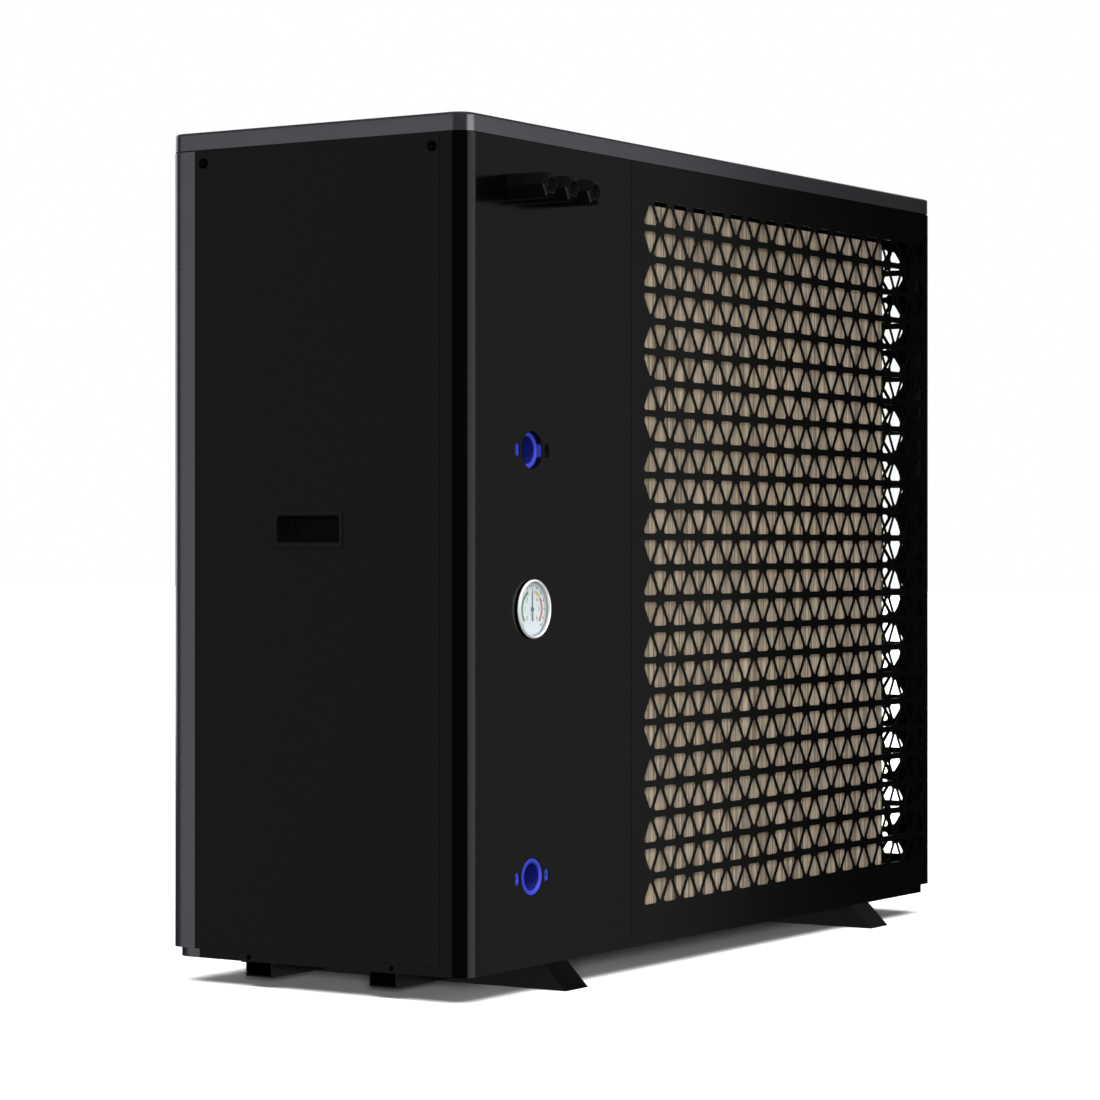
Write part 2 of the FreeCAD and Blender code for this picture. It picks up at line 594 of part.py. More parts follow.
def top_frame():
    """A rolled ring inside the panels' top edge that carries the cover."""
    low, step, high = FRAME_LOW, PANEL_HIGH, near("total_height", "sheet + play")
    lower = rounded_block("frame_lower", (far(FAN_END, "sheet"), far(FRONT, "sheet"), low),
                          (near(SERVICE, "sheet"), near(BACK, "sheet"), step), "corner_radius - sheet")
    inset = "cover_inset + sheet + play"
    upper = rounded_block("frame_upper", (far(FAN_END, inset), far(FRONT, inset), step),
                          (near(SERVICE, inset), near(BACK, inset), high), "corner_radius - sheet")
    hollow = rounded_block("frame_hollow", (far(FAN_END, inset + " + sheet"), far(FRONT, inset + " + sheet"),
                                            near(low)),
                           (near(SERVICE, inset + " + sheet"), near(BACK, inset + " + sheet"), far(high)),
                           "corner_radius - 2 * sheet")
    clear = [box("frame_recess", (near(SERVICE, "sheet + play"), FRONT_WRAP, near(low)),
                 (SERVICE, BACK_WRAP, PANEL_HIGH))]
    holes = [cylinder("frame_screw_hole", "x", SCREW_SHANK + 1.0, "14", (near(SERVICE, 12), y, SIDE_SCREW_Z))
             for y in SIDE_SCREW_Y]
    node(cut("top_frame", fuse("frame_whole", [lower, upper]), [hollow] + clear + holes))


def top_cover():
    """A folded lid: flat top and a skirt all round, slightly inside the panels' faces."""
    outer = rounded_block("cover_outer", (far(FAN_END, "cover_inset"), far(FRONT, "cover_inset"), COVER_LOW),
                          (near(SERVICE, "cover_inset"), near(BACK, "cover_inset"), "total_height"),
                          "corner_radius - 2")
    inset = "cover_inset + sheet"
    inner = rounded_block("cover_inner", (far(FAN_END, inset), far(FRONT, inset), near(COVER_LOW)),
                          (near(SERVICE, inset), near(BACK, inset), near("total_height", "sheet")),
                          "corner_radius - 2 - sheet")
    node(cut("top_cover", outer, [inner]))


# ---------------------------------------------------------------- connections and gauge
UNION_ROOT = "exchanger_y + exchanger_radius + 2"


def union(label, level, recess):
    """A moulded fitting: a ring in the panel's round opening on an ear bar screwed behind it."""
    depth = "(%s) - (%s)" % (near(BACK, recess), UNION_ROOT)
    ring = cylinder(label + "_ring", "y", "port_ring", depth, (PORT_X, UNION_ROOT, level))
    bar_back = "%s - sheet - (%s)" % (BACK, recess)
    bar = box(label + "_bar",
              ("%s - ear_spacing / 2" % PORT_X, near(bar_back, 8), "%s - ear_height / 2" % level),
              ("%s + ear_spacing / 2" % PORT_X, bar_back, "%s + ear_height / 2" % level))
    ends = [cylinder(label + "_ear", "y", "ear_height / 2", "8",
                     ("%s + %d * ear_spacing / 2" % (PORT_X, sign), near(bar_back, 8), level))
            for sign in (-1, 1)]
    tools = [cylinder(label + "_bore", "y", "port_bore", depth + " + 9", (PORT_X, near(UNION_ROOT, 2), level)),
             cylinder(label + "_seal_seat", "y", "port_bore + 1.5", "5", (PORT_X, near(UNION_ROOT, 2), level))]
    for sign in (-1, 1):
        tools.append(cylinder(label + "_screw_hole", "y", "ear_screw_radius", "10",
                              ("%s + %d * ear_spacing / 2" % (PORT_X, sign), near(bar_back, 9), level)))
    node(cut(label, fuse(label + "_whole", [ring, bar] + ends), tools))


def gland_body(middle):
    """One cable gland's body: a hexagon outside the panel and a bored shank through it."""
    base = hexagon("gland_base", "y", "gland_flats", "gland_base", (middle, BACK, "gland_level"))
    shank = cylinder("gland_thread", "y", "gland_shank", "gland_base + 24",
                     (middle, near(BACK, 12), "gland_level"))
    bore = cylinder("gland_way", "y", "gland_bore", "70", (middle, near(BACK, 20), "gland_level"))
    return cut("gland_body", fuse("gland_whole", [base, shank]), [bore])


def gland_nut(number, middle):
    """The dome nut that turns on the gland's shank and grips the cable."""
    start = far(BACK, "gland_base + play")
    cap = hexagon("nut_hexagon", "y", "gland_flats", "gland_nut + 10", (middle, start, "gland_level"))
    sleeve = cylinder("nut_sleeve", "y", "gland_flats / 2 + 2.3", "gland_nut", (middle, start, "gland_level"))
    dome = doc.addObject("Part::Cone", "nut_dome")
    bind(dome, Radius1="gland_flats / 2 + 2.3", Radius2="gland_flats / 2 - 4", Height="10")
    place(dome, (middle, far(start, "gland_nut"), "gland_level"), ALONG["y"])
    body = common("nut_body", cap, fuse("nut_envelope", [sleeve, dome]))
    room = cylinder("nut_room", "y", "gland_shank + 0.08", "14.5", (middle, near(start), "gland_level"))
    hole = cylinder("nut_hole", "y", "nut_bore", "60", (middle, start, "gland_level"))
    node(cut("gland_nut_%d" % number, body, [room, hole]))


def glands():
    middles = ["%s + (%d) * gland_spacing" % (GLAND_X, step) for step in (-1, 0, 1)]
    node(group("gland_bodies", [gland_body(middle) for middle in middles]))
    for number, middle in enumerate(middles, start=1):
        gland_nut(number, middle)
    nuts = []
    for middle in middles:
        body = hexagon("locknut_hexagon", "y", "gland_flats", "5",
                       (middle, near(BACK, "sheet + 5"), "gland_level"))
        hole = cylinder("locknut_hole", "y", "gland_shank", "7",
                        (middle, near(BACK, "sheet + 6"), "gland_level"))
        nuts.append(cut("locknut", body, [hole]))
    node(group("gland_locknuts", nuts))


def gauge():
    """A round pressure gauge: case and bezel, dial with the staff, glass; the needle is apart."""
    spot = lambda depth: (PORT_X, depth, "gauge_level")
    bezel = cylinder("bezel_rim", "y", "gauge_radius", "gauge_stand", spot(BACK))
    case = cylinder("case_body", "y", "dial_radius + 1", "gauge_depth + 1", spot(near(BACK, "gauge_depth")))
    stem = cylinder("case_stem", "y", "5", "8", spot(near(BACK, "gauge_depth + 8")))
    hollow = cylinder("case_hollow", "y", "dial_radius", "gauge_depth + gauge_stand",
                      spot(near(BACK, "gauge_depth - 1.5")))
    node(cut("gauge_case", fuse("case_whole", [bezel, case, stem]), [hollow]))
    plate = cylinder("dial_plate", "y", "dial_radius", "1", spot(near(BACK, 2)))
    staff = cylinder("dial_staff", "y", "staff_radius", "4", spot(near(BACK, 1.5)))
    post = cylinder("dial_post", "y", "6", "gauge_depth - 3.5", spot(near(BACK, "gauge_depth - 1.5")))
    node(fuse("gauge_dial", [plate, staff, post]))
    blade = profile_bar("needle_blade", "XZ_Plane",
                        [(near(PORT_X, 1.3), "gauge_level - needle_tail"), (far(PORT_X, 1.3), "gauge_level - needle_tail"),
                         (far(PORT_X, 1.6), "gauge_level"),
                         (far(PORT_X, 0.4), "gauge_level + dial_radius - 7"),
                         (near(PORT_X, 0.4), "gauge_level + dial_radius - 7"),
                         (near(PORT_X, 1.6), "gauge_level")],
                        "0 - body_depth / 2 - 1", "0.8")
    hub = cylinder("needle_hub", "y", "3.4", "1.4", spot(far(BACK, "0")))
    whole = fuse("needle_whole", [blade, hub])
    eye = cylinder("needle_eye", "y", "staff_radius + 0.05", "6", spot(near(BACK, 2)))
    node(cut("gauge_needle", whole, [eye]))
    node(cylinder("gauge_glass", "y", "dial_radius", "1.2", spot(far(BACK, "gauge_stand - 1.6"))))


# ---------------------------------------------------------------- coil and fan
COIL_BACK = "body_depth / 2 - coil_setback"
COIL_FRONT = "body_depth / 2 - coil_setback - coil_depth"
COIL_LEFT = "body_length / 2 - coil_end"
COIL_RIGHT = "body_length / 2 - coil_start"
COIL_LOW = "grille_middle - coil_tall / 2"


def coil():
    plates = []
    for x in (COIL_LEFT, near(COIL_RIGHT, "coil_plate")):
        plates.append(box("coil_plate_sheet", (x, COIL_FRONT, "foot_height + sheet"),
                          (far(x, "coil_plate"), COIL_BACK, far(COIL_LOW, "coil_tall"))))
    node(group("coil_end_plates", plates))
    node(box("coil_fins", (far(COIL_LEFT, "coil_plate"), COIL_FRONT, COIL_LOW),
             (near(COIL_RIGHT, "coil_plate"), COIL_BACK, far(COIL_LOW, "coil_tall"))))
    bends = []
    count = int(value("coil_tall") / value("tube_pitch")) - 1
    reach = value("tube_radius") * 2.2
    for side, x in ((-1, value(COIL_LEFT)), (1, value(COIL_RIGHT))):
        for row, y in enumerate((value(COIL_FRONT) + 11, value(COIL_BACK) - 11)):
            for turn in range((row + (side > 0)) % 2, count - 1, 2):
                low = value(COIL_LOW) + (turn + 1) * value("tube_pitch")
                middle = Vector(x, y, low + value("tube_pitch") / 2)
                ring = Part.makeTorus(value("tube_pitch") / 2, value("tube_radius"), middle,
                                      Vector(0, 1, 0), 0, 360)
                room = Part.makeBox(reach * 4, 40, 60,
                                    Vector(x if side > 0 else x - reach * 4, y - 20, low - 20))
                bends.append(ring.common(room))
    node(own_shape("coil_return_bends", Part.Compound(bends)))


ROTOR_FRONT = "0 - body_depth / 2 + guard_depth + 12"
MOTOR_FRONT = ROTOR_FRONT + " + fan_depth + 12"
MOTOR_BACK = MOTOR_FRONT + " + motor_length"


def on_fan_axis(y):
    return (FAN_X, y, "grille_middle")


def fan_motor():
    can = cylinder("motor_can", "y", "motor_radius", "motor_length", on_fan_axis(MOTOR_FRONT))
    shaft = cylinder("motor_shaft", "y", "shaft_radius", "fan_depth + 23",
                     on_fan_axis(near(MOTOR_FRONT, "fan_depth + 21")))
    boss = cylinder("motor_boss", "y", "22", "6", on_fan_axis(near(MOTOR_FRONT, 6)))
    node(fuse("fan_motor", [can, shaft, boss]))


def motor_bracket():
    """Two uprights from pan to top frame, with two bars that carry the motor and a tie at each end."""
    def strap(label, left, right, low, high):
        return box(label, (left, MOTOR_BACK, low), (right, far(MOTOR_BACK, "bracket_sheet"), high))

    left, right = near(FAN_X, "bracket_half"), far(FAN_X, "bracket_half")
    bars = [strap("bracket_upright", left, far(left, "bracket_bar"), PAN_FLOOR, near(FRAME_LOW, 4)),
            strap("bracket_upright", near(right, "bracket_bar"), right, PAN_FLOOR, near(FRAME_LOW, 4))]
    for sign in (-1, 1):
        low = "grille_middle + (%d) * 45 - bracket_bar / 2" % sign
        bars.append(strap("bracket_bar", left, right, low, far(low, "bracket_bar")))
    for level in (PAN_FLOOR, near(FRAME_LOW, "bracket_sheet + 4")):
        bars.append(box("bracket_tie", (left, near(MOTOR_BACK, 20), level),
                        (right, far(MOTOR_BACK, "bracket_sheet"), far(level, "bracket_sheet"))))
    node(fuse("motor_bracket", bars))


# a blade's sections: share of the way from hub to tip, chord, pitch angle, sweep angle
BLADE_SECTIONS = ((0.0, 120, 42, 0), (0.45, 175, 32, 10), (1.0, 235, 22, 24))
BLADE_THICK = 3.2


def fan_blade(number):
    """One swept blade: a twisted loft through its sections, on the rotor's middle."""
    middle = Vector(value(FAN_X), value(ROTOR_FRONT) + value("fan_depth") / 2, value("grille_middle"))
    root, reach = value("fan_hub") - 3, value("fan_radius") - value("fan_hub") + 3
    outlines = []
    for share, chord, pitch_angle, sweep in BLADE_SECTIONS:
        turn = math.radians(360.0 * number / value("fan_blades") + sweep)
        out = Vector(math.cos(turn), 0, math.sin(turn))
        along = Vector(-math.sin(turn), 0, math.cos(turn))
        tilt = math.radians(pitch_angle)
        line = along * math.cos(tilt) + Vector(0, 1, 0) * math.sin(tilt)
        across = out.cross(line).normalize()
        start = middle + out * (root + share * reach)
        corners = [start + line * (chord / 2 * end) + across * (BLADE_THICK / 2 * face)
                   for end, face in ((-1, -1), (1, -1), (1, 1), (-1, 1))]
        outlines.append(Part.makePolygon(corners + corners[:1]))
    return Part.makeLoft(outlines, True, True)


def fan_rotor():
    """A cupped hub on a collar, with blades trimmed to the fan's radius and depth."""
    hub = cylinder("rotor_hub", "y", "fan_hub", "fan_depth", on_fan_axis(ROTOR_FRONT))
    room = cylinder("rotor_hollow", "y", "fan_hub - 4", "fan_depth", on_fan_axis(far(ROTOR_FRONT, 8)))
    collar = cylinder("rotor_collar", "y", "16", "fan_depth", on_fan_axis(ROTOR_FRONT))
    eye = cylinder("rotor_eye", "y", "shaft_radius + 0.05", "fan_depth + 4", on_fan_axis(near(ROTOR_FRONT, 2)))
    cup = cut("rotor_shell", fuse("rotor_core", [cut("rotor_cup", hub, [room]), collar]), [eye])
    blades = own_shape("rotor_blades", Part.Compound([fan_blade(n) for n in range(int(value("fan_blades")))]))
    sweep = cylinder("rotor_sweep", "y", "fan_radius", "fan_depth", on_fan_axis(ROTOR_FRONT))
    inside = cylinder("rotor_inside", "y", "fan_hub - 2", "fan_depth + 2", on_fan_axis(near(ROTOR_FRONT)))
    node(fuse("fan_rotor", [cup, common("rotor_wings", blades, cut("rotor_band", sweep, [inside]))]))
    nut = hexagon("nut_head", "y", "18", "6", on_fan_axis(near(ROTOR_FRONT, 6.4)))
    nut_eye = cylinder("nut_eye", "y", "shaft_radius + 0.05", "10", on_fan_axis(near(ROTOR_FRONT, 8)))
    node(cut("fan_nut", nut, [nut_eye]))


def fan_orifice():
    """The ring behind the guard that the rotor turns in."""
    outer = cylinder("orifice_outer", "y", "fan_opening + 6", "60", on_fan_axis(far(FRONT, "guard_depth")))
    inner = cylinder("orifice_inner", "y", "fan_opening - 4", "80", on_fan_axis(near(FRONT, 2)))
    node(cut("fan_orifice", outer, [inner]))


def fan_guard():
    """A moulded guard in the front opening: rings joined by spokes, level with the panel."""
    centre = Vector(value(FAN_X), value(FRONT), value("grille_middle"))
    tall, wire = value("guard_depth"), 2.2
    outer = value("fan_opening") - 0.2

    def ring(radius, width, depth):
        solid = Part.makeCylinder(radius, depth, centre, Vector(0, 1, 0))
        inside = Part.makeCylinder(radius - width, depth + 2, centre - Vector(0, 1, 0), Vector(0, 1, 0))
        return solid.cut(inside)

    pieces = [Part.makeCylinder(60, 3, centre, Vector(0, 1, 0)), ring(outer, 4, tall)]
    rings = 13
    for number in range(1, rings):
        pieces.append(ring(60 + (outer - 60) * number / rings, wire, 5))
    for number in range(12):
        spoke = Part.makeBox(outer - 62, 7, 3, Vector(58, 0, -1.5))
        spoke.rotate(Vector(), Vector(0, 1, 0), 30.0 * number)
        spoke.translate(centre)
        pieces.append(spoke)
    node(own_shape("fan_guard", pieces[0].fuse(pieces[1:]).removeSplitter()))


# ---------------------------------------------------------------- service compartment
WALL_X = near(SEAM_X, 6)
BOX_HIGH = "box_bottom + box_tall - 15"
COMPRESSOR_LOW = "foot_height + sheet + 14"
COMPRESSOR_HIGH = COMPRESSOR_LOW + " + compressor_tall"
TANK_X = COMPRESSOR_X + " + compressor_radius + tank_gap + tank_radius"
TANK_LOW, TANK_HIGH = "foot_height + tank_rise", "foot_height + tank_rise + tank_tall"
VALVE_LEVEL = "foot_height + sheet + 14 + compressor_tall + 95"
VALVE_X = near(COMPRESSOR_X, 15)
COIL_PIPE_Y = "body_depth / 2 - coil_setback - coil_depth / 2"
LOW_PIPE = "foot_height + 72"
EXPANSION_X = near(COMPRESSOR_X, 10)


def partition():
    """The wall between the fan side and the service side, with two pipe holes."""
    wall = box("partition_sheet", (WALL_X, far(BASE_FRONT, "2 * sheet"), PAN_FLOOR),
               (far(WALL_X, "sheet"), near(BACK, 16), FRAME_LOW))
    holes = [cylinder("partition_hole", "x", "7", "sheet + 2", (near(WALL_X), COIL_PIPE_Y, level))
             for level in (VALVE_LEVEL, LOW_PIPE)]
    node(cut("partition", wall, holes))


def compressor():
    spot = lambda z: (COMPRESSOR_X, "compressor_y", z)
    can = cylinder("compressor_can", "z", "compressor_radius", "compressor_tall - 50",
                   spot(far(COMPRESSOR_LOW, 25)))
    domes = []
    for low, wide, narrow in ((COMPRESSOR_LOW, 40, 0), (far(COMPRESSOR_LOW, "compressor_tall - 25"), 0, 30)):
        dome = doc.addObject("Part::Cone", "compressor_dome")
        bind(dome, Radius1="compressor_radius - %d" % (22 if wide else 0),
             Radius2="compressor_radius - %d" % (0 if wide else 32), Height="25")
        domes.append(place(dome, spot(low)))
    plate = cylinder("compressor_plate", "z", "compressor_radius + 22", "3", spot(COMPRESSOR_LOW))
    bolts, mounts, holes = [], [], []
    for angle in (90, 210, 330):
        x = COMPRESSOR_X + " + (compressor_radius + 12) * %.4f" % math.cos(math.radians(angle))
        y = "compressor_y + (compressor_radius + 12) * %.4f" % math.sin(math.radians(angle))
        holes.append(cylinder("plate_hole", "z", "4", "5", (x, y, near(COMPRESSOR_LOW))))
        rubber = cylinder("mount_rubber", "z", "13", "14", (x, y, PAN_FLOOR))
        eye = cylinder("mount_eye", "z", "4", "16", (x, y, near(PAN_FLOOR)))
        mounts.append(cut("mount", rubber, [eye]))
        head = hexagon("bolt_head", "z", "13", "5", (x, y, far(COMPRESSOR_LOW, 3)))
        rod = cylinder("bolt_rod", "z", "4", "17", (x, y, PAN_FLOOR))
        bolts.append(fuse("mount_bolt", [head, rod]))
    node(cut("compressor", fuse("compressor_whole", [can, plate] + domes), holes))
    node(group("compressor_mounts", mounts))
    node(group("compressor_bolts", bolts))


def accumulator():
    node(cylinder("accumulator", "z", "tank_radius", "tank_tall", (TANK_X, "compressor_y", TANK_LOW)))


def four_way_valve():
    body = cylinder("valve_body", "y", "16", "110", (VALVE_X, "compressor_y - 45", VALVE_LEVEL))
    coil_case = box("valve_coil", (near(VALVE_X, 15), "compressor_y - 79", near(VALVE_LEVEL, 15)),
                    (far(VALVE_X, 15), "compressor_y - 45", far(VALVE_LEVEL, 15)))
    node(fuse("four_way_valve", [body, coil_case]))


def refrigerant_pipes():
    """Brazed copper pipes: the gas side in one group, the liquid side and the coil's feed in another."""
    top = far(VALVE_LEVEL, 16)
    port = lambda step: "compressor_y + (%d)" % step
    over = "box_bottom - 60"
    gas = [pipe("discharge_pipe", [(VALVE_X, "compressor_y", COMPRESSOR_HIGH),
                                   (VALVE_X, "compressor_y", near(VALVE_LEVEL, 16))], "pipe_radius", "20"),
           pipe("suction_pipe", [(VALVE_X, port(-30), top), (VALVE_X, port(-30), far(top, 64)),
                                 (TANK_X, "compressor_y", far(top, 64)),
                                 (TANK_X, "compressor_y", TANK_HIGH)], "pipe_radius", "24"),
           pipe("tank_pipe", [(TANK_X, "compressor_y", TANK_LOW), (TANK_X, "compressor_y", near(TANK_LOW, 32)),
                              (far(COMPRESSOR_X, "compressor_radius"), "compressor_y", near(TANK_LOW, 32))],
                "pipe_radius", "18"),
           pipe("hot_gas_pipe", [(VALVE_X, port(40), top), (VALVE_X, port(40), over),
                                 (PORT_X, "exchanger_y", over), (PORT_X, "exchanger_y", "exchanger_top")],
                "pipe_radius", "24")]
    node(group("refrigerant_pipes", gas))
    side = far(WALL_X, 22)
    shell_side = near(PORT_X, "exchanger_radius")
    liquid = [pipe("coil_pipe", [(near(VALVE_X, 15), port(-62), VALVE_LEVEL), (side, port(-62), VALVE_LEVEL),
                                 (side, COIL_PIPE_Y, VALVE_LEVEL), (COIL_RIGHT, COIL_PIPE_Y, VALVE_LEVEL)],
                   "4", "12"),
              pipe("liquid_pipe_coil", [(near(EXPANSION_X, 14), "exchanger_y", LOW_PIPE),
                                        (side, "exchanger_y", LOW_PIPE), (side, COIL_PIPE_Y, LOW_PIPE),
                                        (COIL_RIGHT, COIL_PIPE_Y, LOW_PIPE)], "4", "12"),
              pipe("liquid_pipe_exchanger", [(shell_side, "exchanger_y", LOW_PIPE),
                                             (far(EXPANSION_X, 14), "exchanger_y", LOW_PIPE)], "4", "12")]
    node(group("liquid_pipes", liquid))
    beside, back_off = far(PORT_X, "ear_spacing / 2 + 16"), near(BACK, "gauge_depth + 16")
    level = far("exchanger_top", 8)
    node(pipe("gauge_capillary", [(PORT_X, near(BACK, "gauge_depth + 8"), "gauge_level"),
                                  (PORT_X, back_off, "gauge_level"), (beside, back_off, "gauge_level"),
                                  (beside, back_off, level), (beside, "exchanger_y", level),
                                  (far(PORT_X, "pipe_radius"), "exchanger_y", level)], "1.5", "5"))


def expansion_valve():
    body = cylinder("expansion_body", "z", "14", "34", (EXPANSION_X, "exchanger_y", near(LOW_PIPE, 17)))
    motor = cylinder("expansion_motor", "z", "18", "30", (EXPANSION_X, "exchanger_y", far(LOW_PIPE, 17)))
    node(fuse("expansion_valve", [body, motor]))


def exchanger():
    """A closed shell with a side port for each union, straight tubes inside, on a stand."""
    spot = lambda z: (PORT_X, "exchanger_y", z)
    tall = "exchanger_top - exchanger_bottom"
    shell = [cylinder("shell_outer", "z", "exchanger_radius", tall, spot("exchanger_bottom"))]
    tools = [cylinder("shell_hollow", "z", "exchanger_radius - 5", tall + " - 10", spot("exchanger_bottom + 5"))]
    for level in ("outlet_level", "inlet_level"):
        shell.append(cylinder("shell_boss", "y", "port_ring", "14", (PORT_X, near(UNION_ROOT, 14), level)))
        tools.append(cylinder("shell_port", "y", "port_bore + 1.5", "60", (PORT_X, near(UNION_ROOT, 50), level)))
    node(cut("water_exchanger", fuse("shell_whole", shell), tools))
    stand = cylinder("stand_outer", "z", "exchanger_radius - 15", "exchanger_bottom - foot_height - sheet",
                     spot(PAN_FLOOR))
    bore = cylinder("stand_inner", "z", "exchanger_radius - 19", "exchanger_bottom", spot(near(PAN_FLOOR)))
    node(cut("exchanger_stand", stand, [bore]))
    tubes = [cylinder("titanium_tube", "z", "9", tall + " - 10", spot("exchanger_bottom + 5"))]
    for number in range(6):
        angle = math.radians(30 + 60 * number)
        tubes.append(cylinder("titanium_tube", "z", "9", tall + " - 10",
                              ("%s + %.4f * exchanger_radius / 2" % (PORT_X, math.cos(angle)),
                               "exchanger_y + %.4f * exchanger_radius / 2" % math.sin(angle),
                               "exchanger_bottom + 5")))
    node(group("titanium_tubes", tubes))


def electric_box():
    """A tray beside the partition, with the boards, its cover, and the heat sink below."""
    low_x, high_x = far(WALL_X, "sheet"), near(SERVICE, 20)
    floor = "box_bottom + box_sheet"
    tray = box("box_outer", (low_x, "box_front", "box_bottom"), (high_x, "box_back", BOX_HIGH))
    hollow = box("box_hollow", (far(low_x, "box_sheet"), "box_front + box_sheet", floor),
                 (near(high_x, "box_sheet"), "box_back - box_sheet", far(BOX_HIGH)))
    node(cut("electric_box", tray, [hollow]))
    node(box("electric_box_cover", (low_x, "box_front", BOX_HIGH),
             (high_x, "box_back", far(BOX_HIGH, "box_sheet"))))
    board = box("board_sheet", (far(low_x, 16), "box_front + 20", far(floor, 8)),
                (far(low_x, 186), "box_front + 200", far(floor, 9.6)))
    posts = [cylinder("board_post", "z", "4", "8", (far(low_x, x), y, floor))
             for x in (24, 178) for y in ("box_front + 28", "box_front + 192")]
    node(fuse("inverter_board", [board] + posts))
    node(group("board_capacitors", [cylinder("capacitor", "z", "15", "45", (far(low_x, x), y, far(floor, 9.6)))
                                    for x in (60, 100) for y in ("box_front + 50", "box_front + 90")]))
    node(box("reactor", (far(low_x, 215), "box_front + 40", floor),
             (far(low_x, 285), "box_front + 100", far(floor, 50))))
    block = box("terminal_base", (far(low_x, 120), "box_back - 50", floor),
                (far(low_x, 250), "box_back - 22", far(floor, 22)))
    slots = [box("terminal_slot", (far(low_x, 126 + 15 * step), "box_back - 51", far(floor, 12)),
                 (far(low_x, 136 + 15 * step), "box_back - 21", far(floor, 23))) for step in range(8)]
    node(cut("terminal_block", block, slots))
    sink_front, sink_back = "box_front + 40", "box_front + 180"
    plate = box("sink_plate", (far(low_x, 30), sink_front, "box_bottom - 5"),
                (far(low_x, 170), sink_back, "box_bottom"))
    fins = [box("sink_fin", (far(low_x, 30 + 13.8 * step), sink_front, "box_bottom - 24"),
                (far(low_x, 32 + 13.8 * step), sink_back, "box_bottom - 5")) for step in range(11)]
    node(fuse("heat_sink", [plate] + fins))


def display():
    """The touch display in the front panel's window: bezel and glass."""
    (left, low), (right, high) = DISPLAY
    body = box("bezel_block", (left, FRONT, low), (right, far(FRONT, 12), high))
    seat = box("bezel_seat", (far(left, 5), near(FRONT), far(low, 5)),
               (near(right, 5), far(FRONT, 2.2), near(high, 5)))
    room = box("bezel_room", (far(left, 8), near(FRONT), far(low, 8)),
               (near(right, 8), far(FRONT, 13), near(high, 8)))
    node(cut("display_bezel", body, [seat, room]))
    node(box("display_glass", (far(left, 5), far(FRONT, 0.4), far(low, 5)),
             (near(right, 5), far(FRONT, 2.2), near(high, 5))))


def finish(path="parts"):
    """Check every object, then write each node's shape."""
    doc.recompute()
    for thing in doc.Objects:
        faults = [word for word in thing.State if word in ("Invalid", "Error")]
        if faults:
            raise RuntimeError("%s is %s" % (thing.Label, faults))
    os.makedirs(path, exist_ok=True)
    for piece in NODES:
        shape = piece.Shape
        if shape.isNull() or not shape.isValid():
            raise RuntimeError("%s has no valid shape" % piece.Label)
        shape.exportStep("%s/%s.step" % (path, piece.Label))
        box_of = shape.BoundBox
        print("%-20s solids %3d  x %.1f..%.1f  y %.1f..%.1f  z %.1f..%.1f" % (
            piece.Label, len(shape.Solids), box_of.XMin, box_of.XMax, box_of.YMin, box_of.YMax,
            box_of.ZMin, box_of.ZMax))


base_pan()
base_skirts()
base_screws()
drain_spigot()
for name, middle in FEET.items():
    foot(name, middle)
rail("rail_front", -1)
rail("rail_back", 1)
sheet_ring = cabinet_ring()
front_panel(sheet_ring)
service_back_panel(sheet_ring)
corner_post(sheet_ring)
grille_panel()
fan_end_panel()
side_panel()
handle_cup()
side_screws()
top_frame()
top_cover()
union("outlet_union", "outlet_level", "outlet_recess")
union("inlet_union", "inlet_level", "0")
glands()
gauge()
coil()
fan_motor()
motor_bracket()
fan_rotor()
fan_orifice()
fan_guard()
partition()
compressor()
accumulator()
four_way_valve()
refrigerant_pipes()
expansion_valve()
exchanger()
electric_box()
display()
finish()
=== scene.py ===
"""Looks of a pool heat pump: a powder-coated cabinet with a perforated coil guard, fan, gauge and unions.

Everything is in metres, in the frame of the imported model: +Z up, +X to the service end, +Y to the back.
"""
import math

import bmesh
import bpy
import numpy as np
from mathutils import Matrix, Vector


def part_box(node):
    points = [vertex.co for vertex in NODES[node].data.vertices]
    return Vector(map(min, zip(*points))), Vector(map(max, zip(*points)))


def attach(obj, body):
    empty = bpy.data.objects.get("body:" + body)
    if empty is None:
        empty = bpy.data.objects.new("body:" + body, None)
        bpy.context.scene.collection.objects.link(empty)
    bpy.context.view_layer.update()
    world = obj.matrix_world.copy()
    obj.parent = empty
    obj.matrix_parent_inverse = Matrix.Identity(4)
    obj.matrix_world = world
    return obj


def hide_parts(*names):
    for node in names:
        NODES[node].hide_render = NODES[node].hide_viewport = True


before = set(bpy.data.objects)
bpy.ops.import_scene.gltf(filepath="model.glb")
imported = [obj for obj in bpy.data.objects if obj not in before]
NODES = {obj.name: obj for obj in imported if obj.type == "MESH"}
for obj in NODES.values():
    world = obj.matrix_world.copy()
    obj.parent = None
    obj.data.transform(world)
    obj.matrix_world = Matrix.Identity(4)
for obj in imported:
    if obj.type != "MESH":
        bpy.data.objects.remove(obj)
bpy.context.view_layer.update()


# ---------------------------------------------------------------------------------------------
# Studio.  A level long-lens camera looks at the service corner, over a plain pale floor.  A soft
# key light stands beside the camera, a wide sun lights from overhead, and tall panels stand where
# the back, the service side, the front and the fan end mirror them.
# ---------------------------------------------------------------------------------------------
CAMERA_PLACE = Vector((3.556, 2.224, 0.487))
CAMERA_AIM = Vector((-0.8426, -0.5386, 0.0))

lens = bpy.data.cameras.new("camera")
lens.lens = 111.4
lens.sensor_width = 36.0
lens.shift_y = -0.0027
camera = bpy.data.objects.new("camera", lens)
camera.location = CAMERA_PLACE
camera.rotation_euler = CAMERA_AIM.to_track_quat("-Z", "Y").to_euler()
bpy.context.scene.collection.objects.link(camera)
bpy.context.scene.camera = camera
bpy.context.scene.view_settings.view_transform = "Standard"


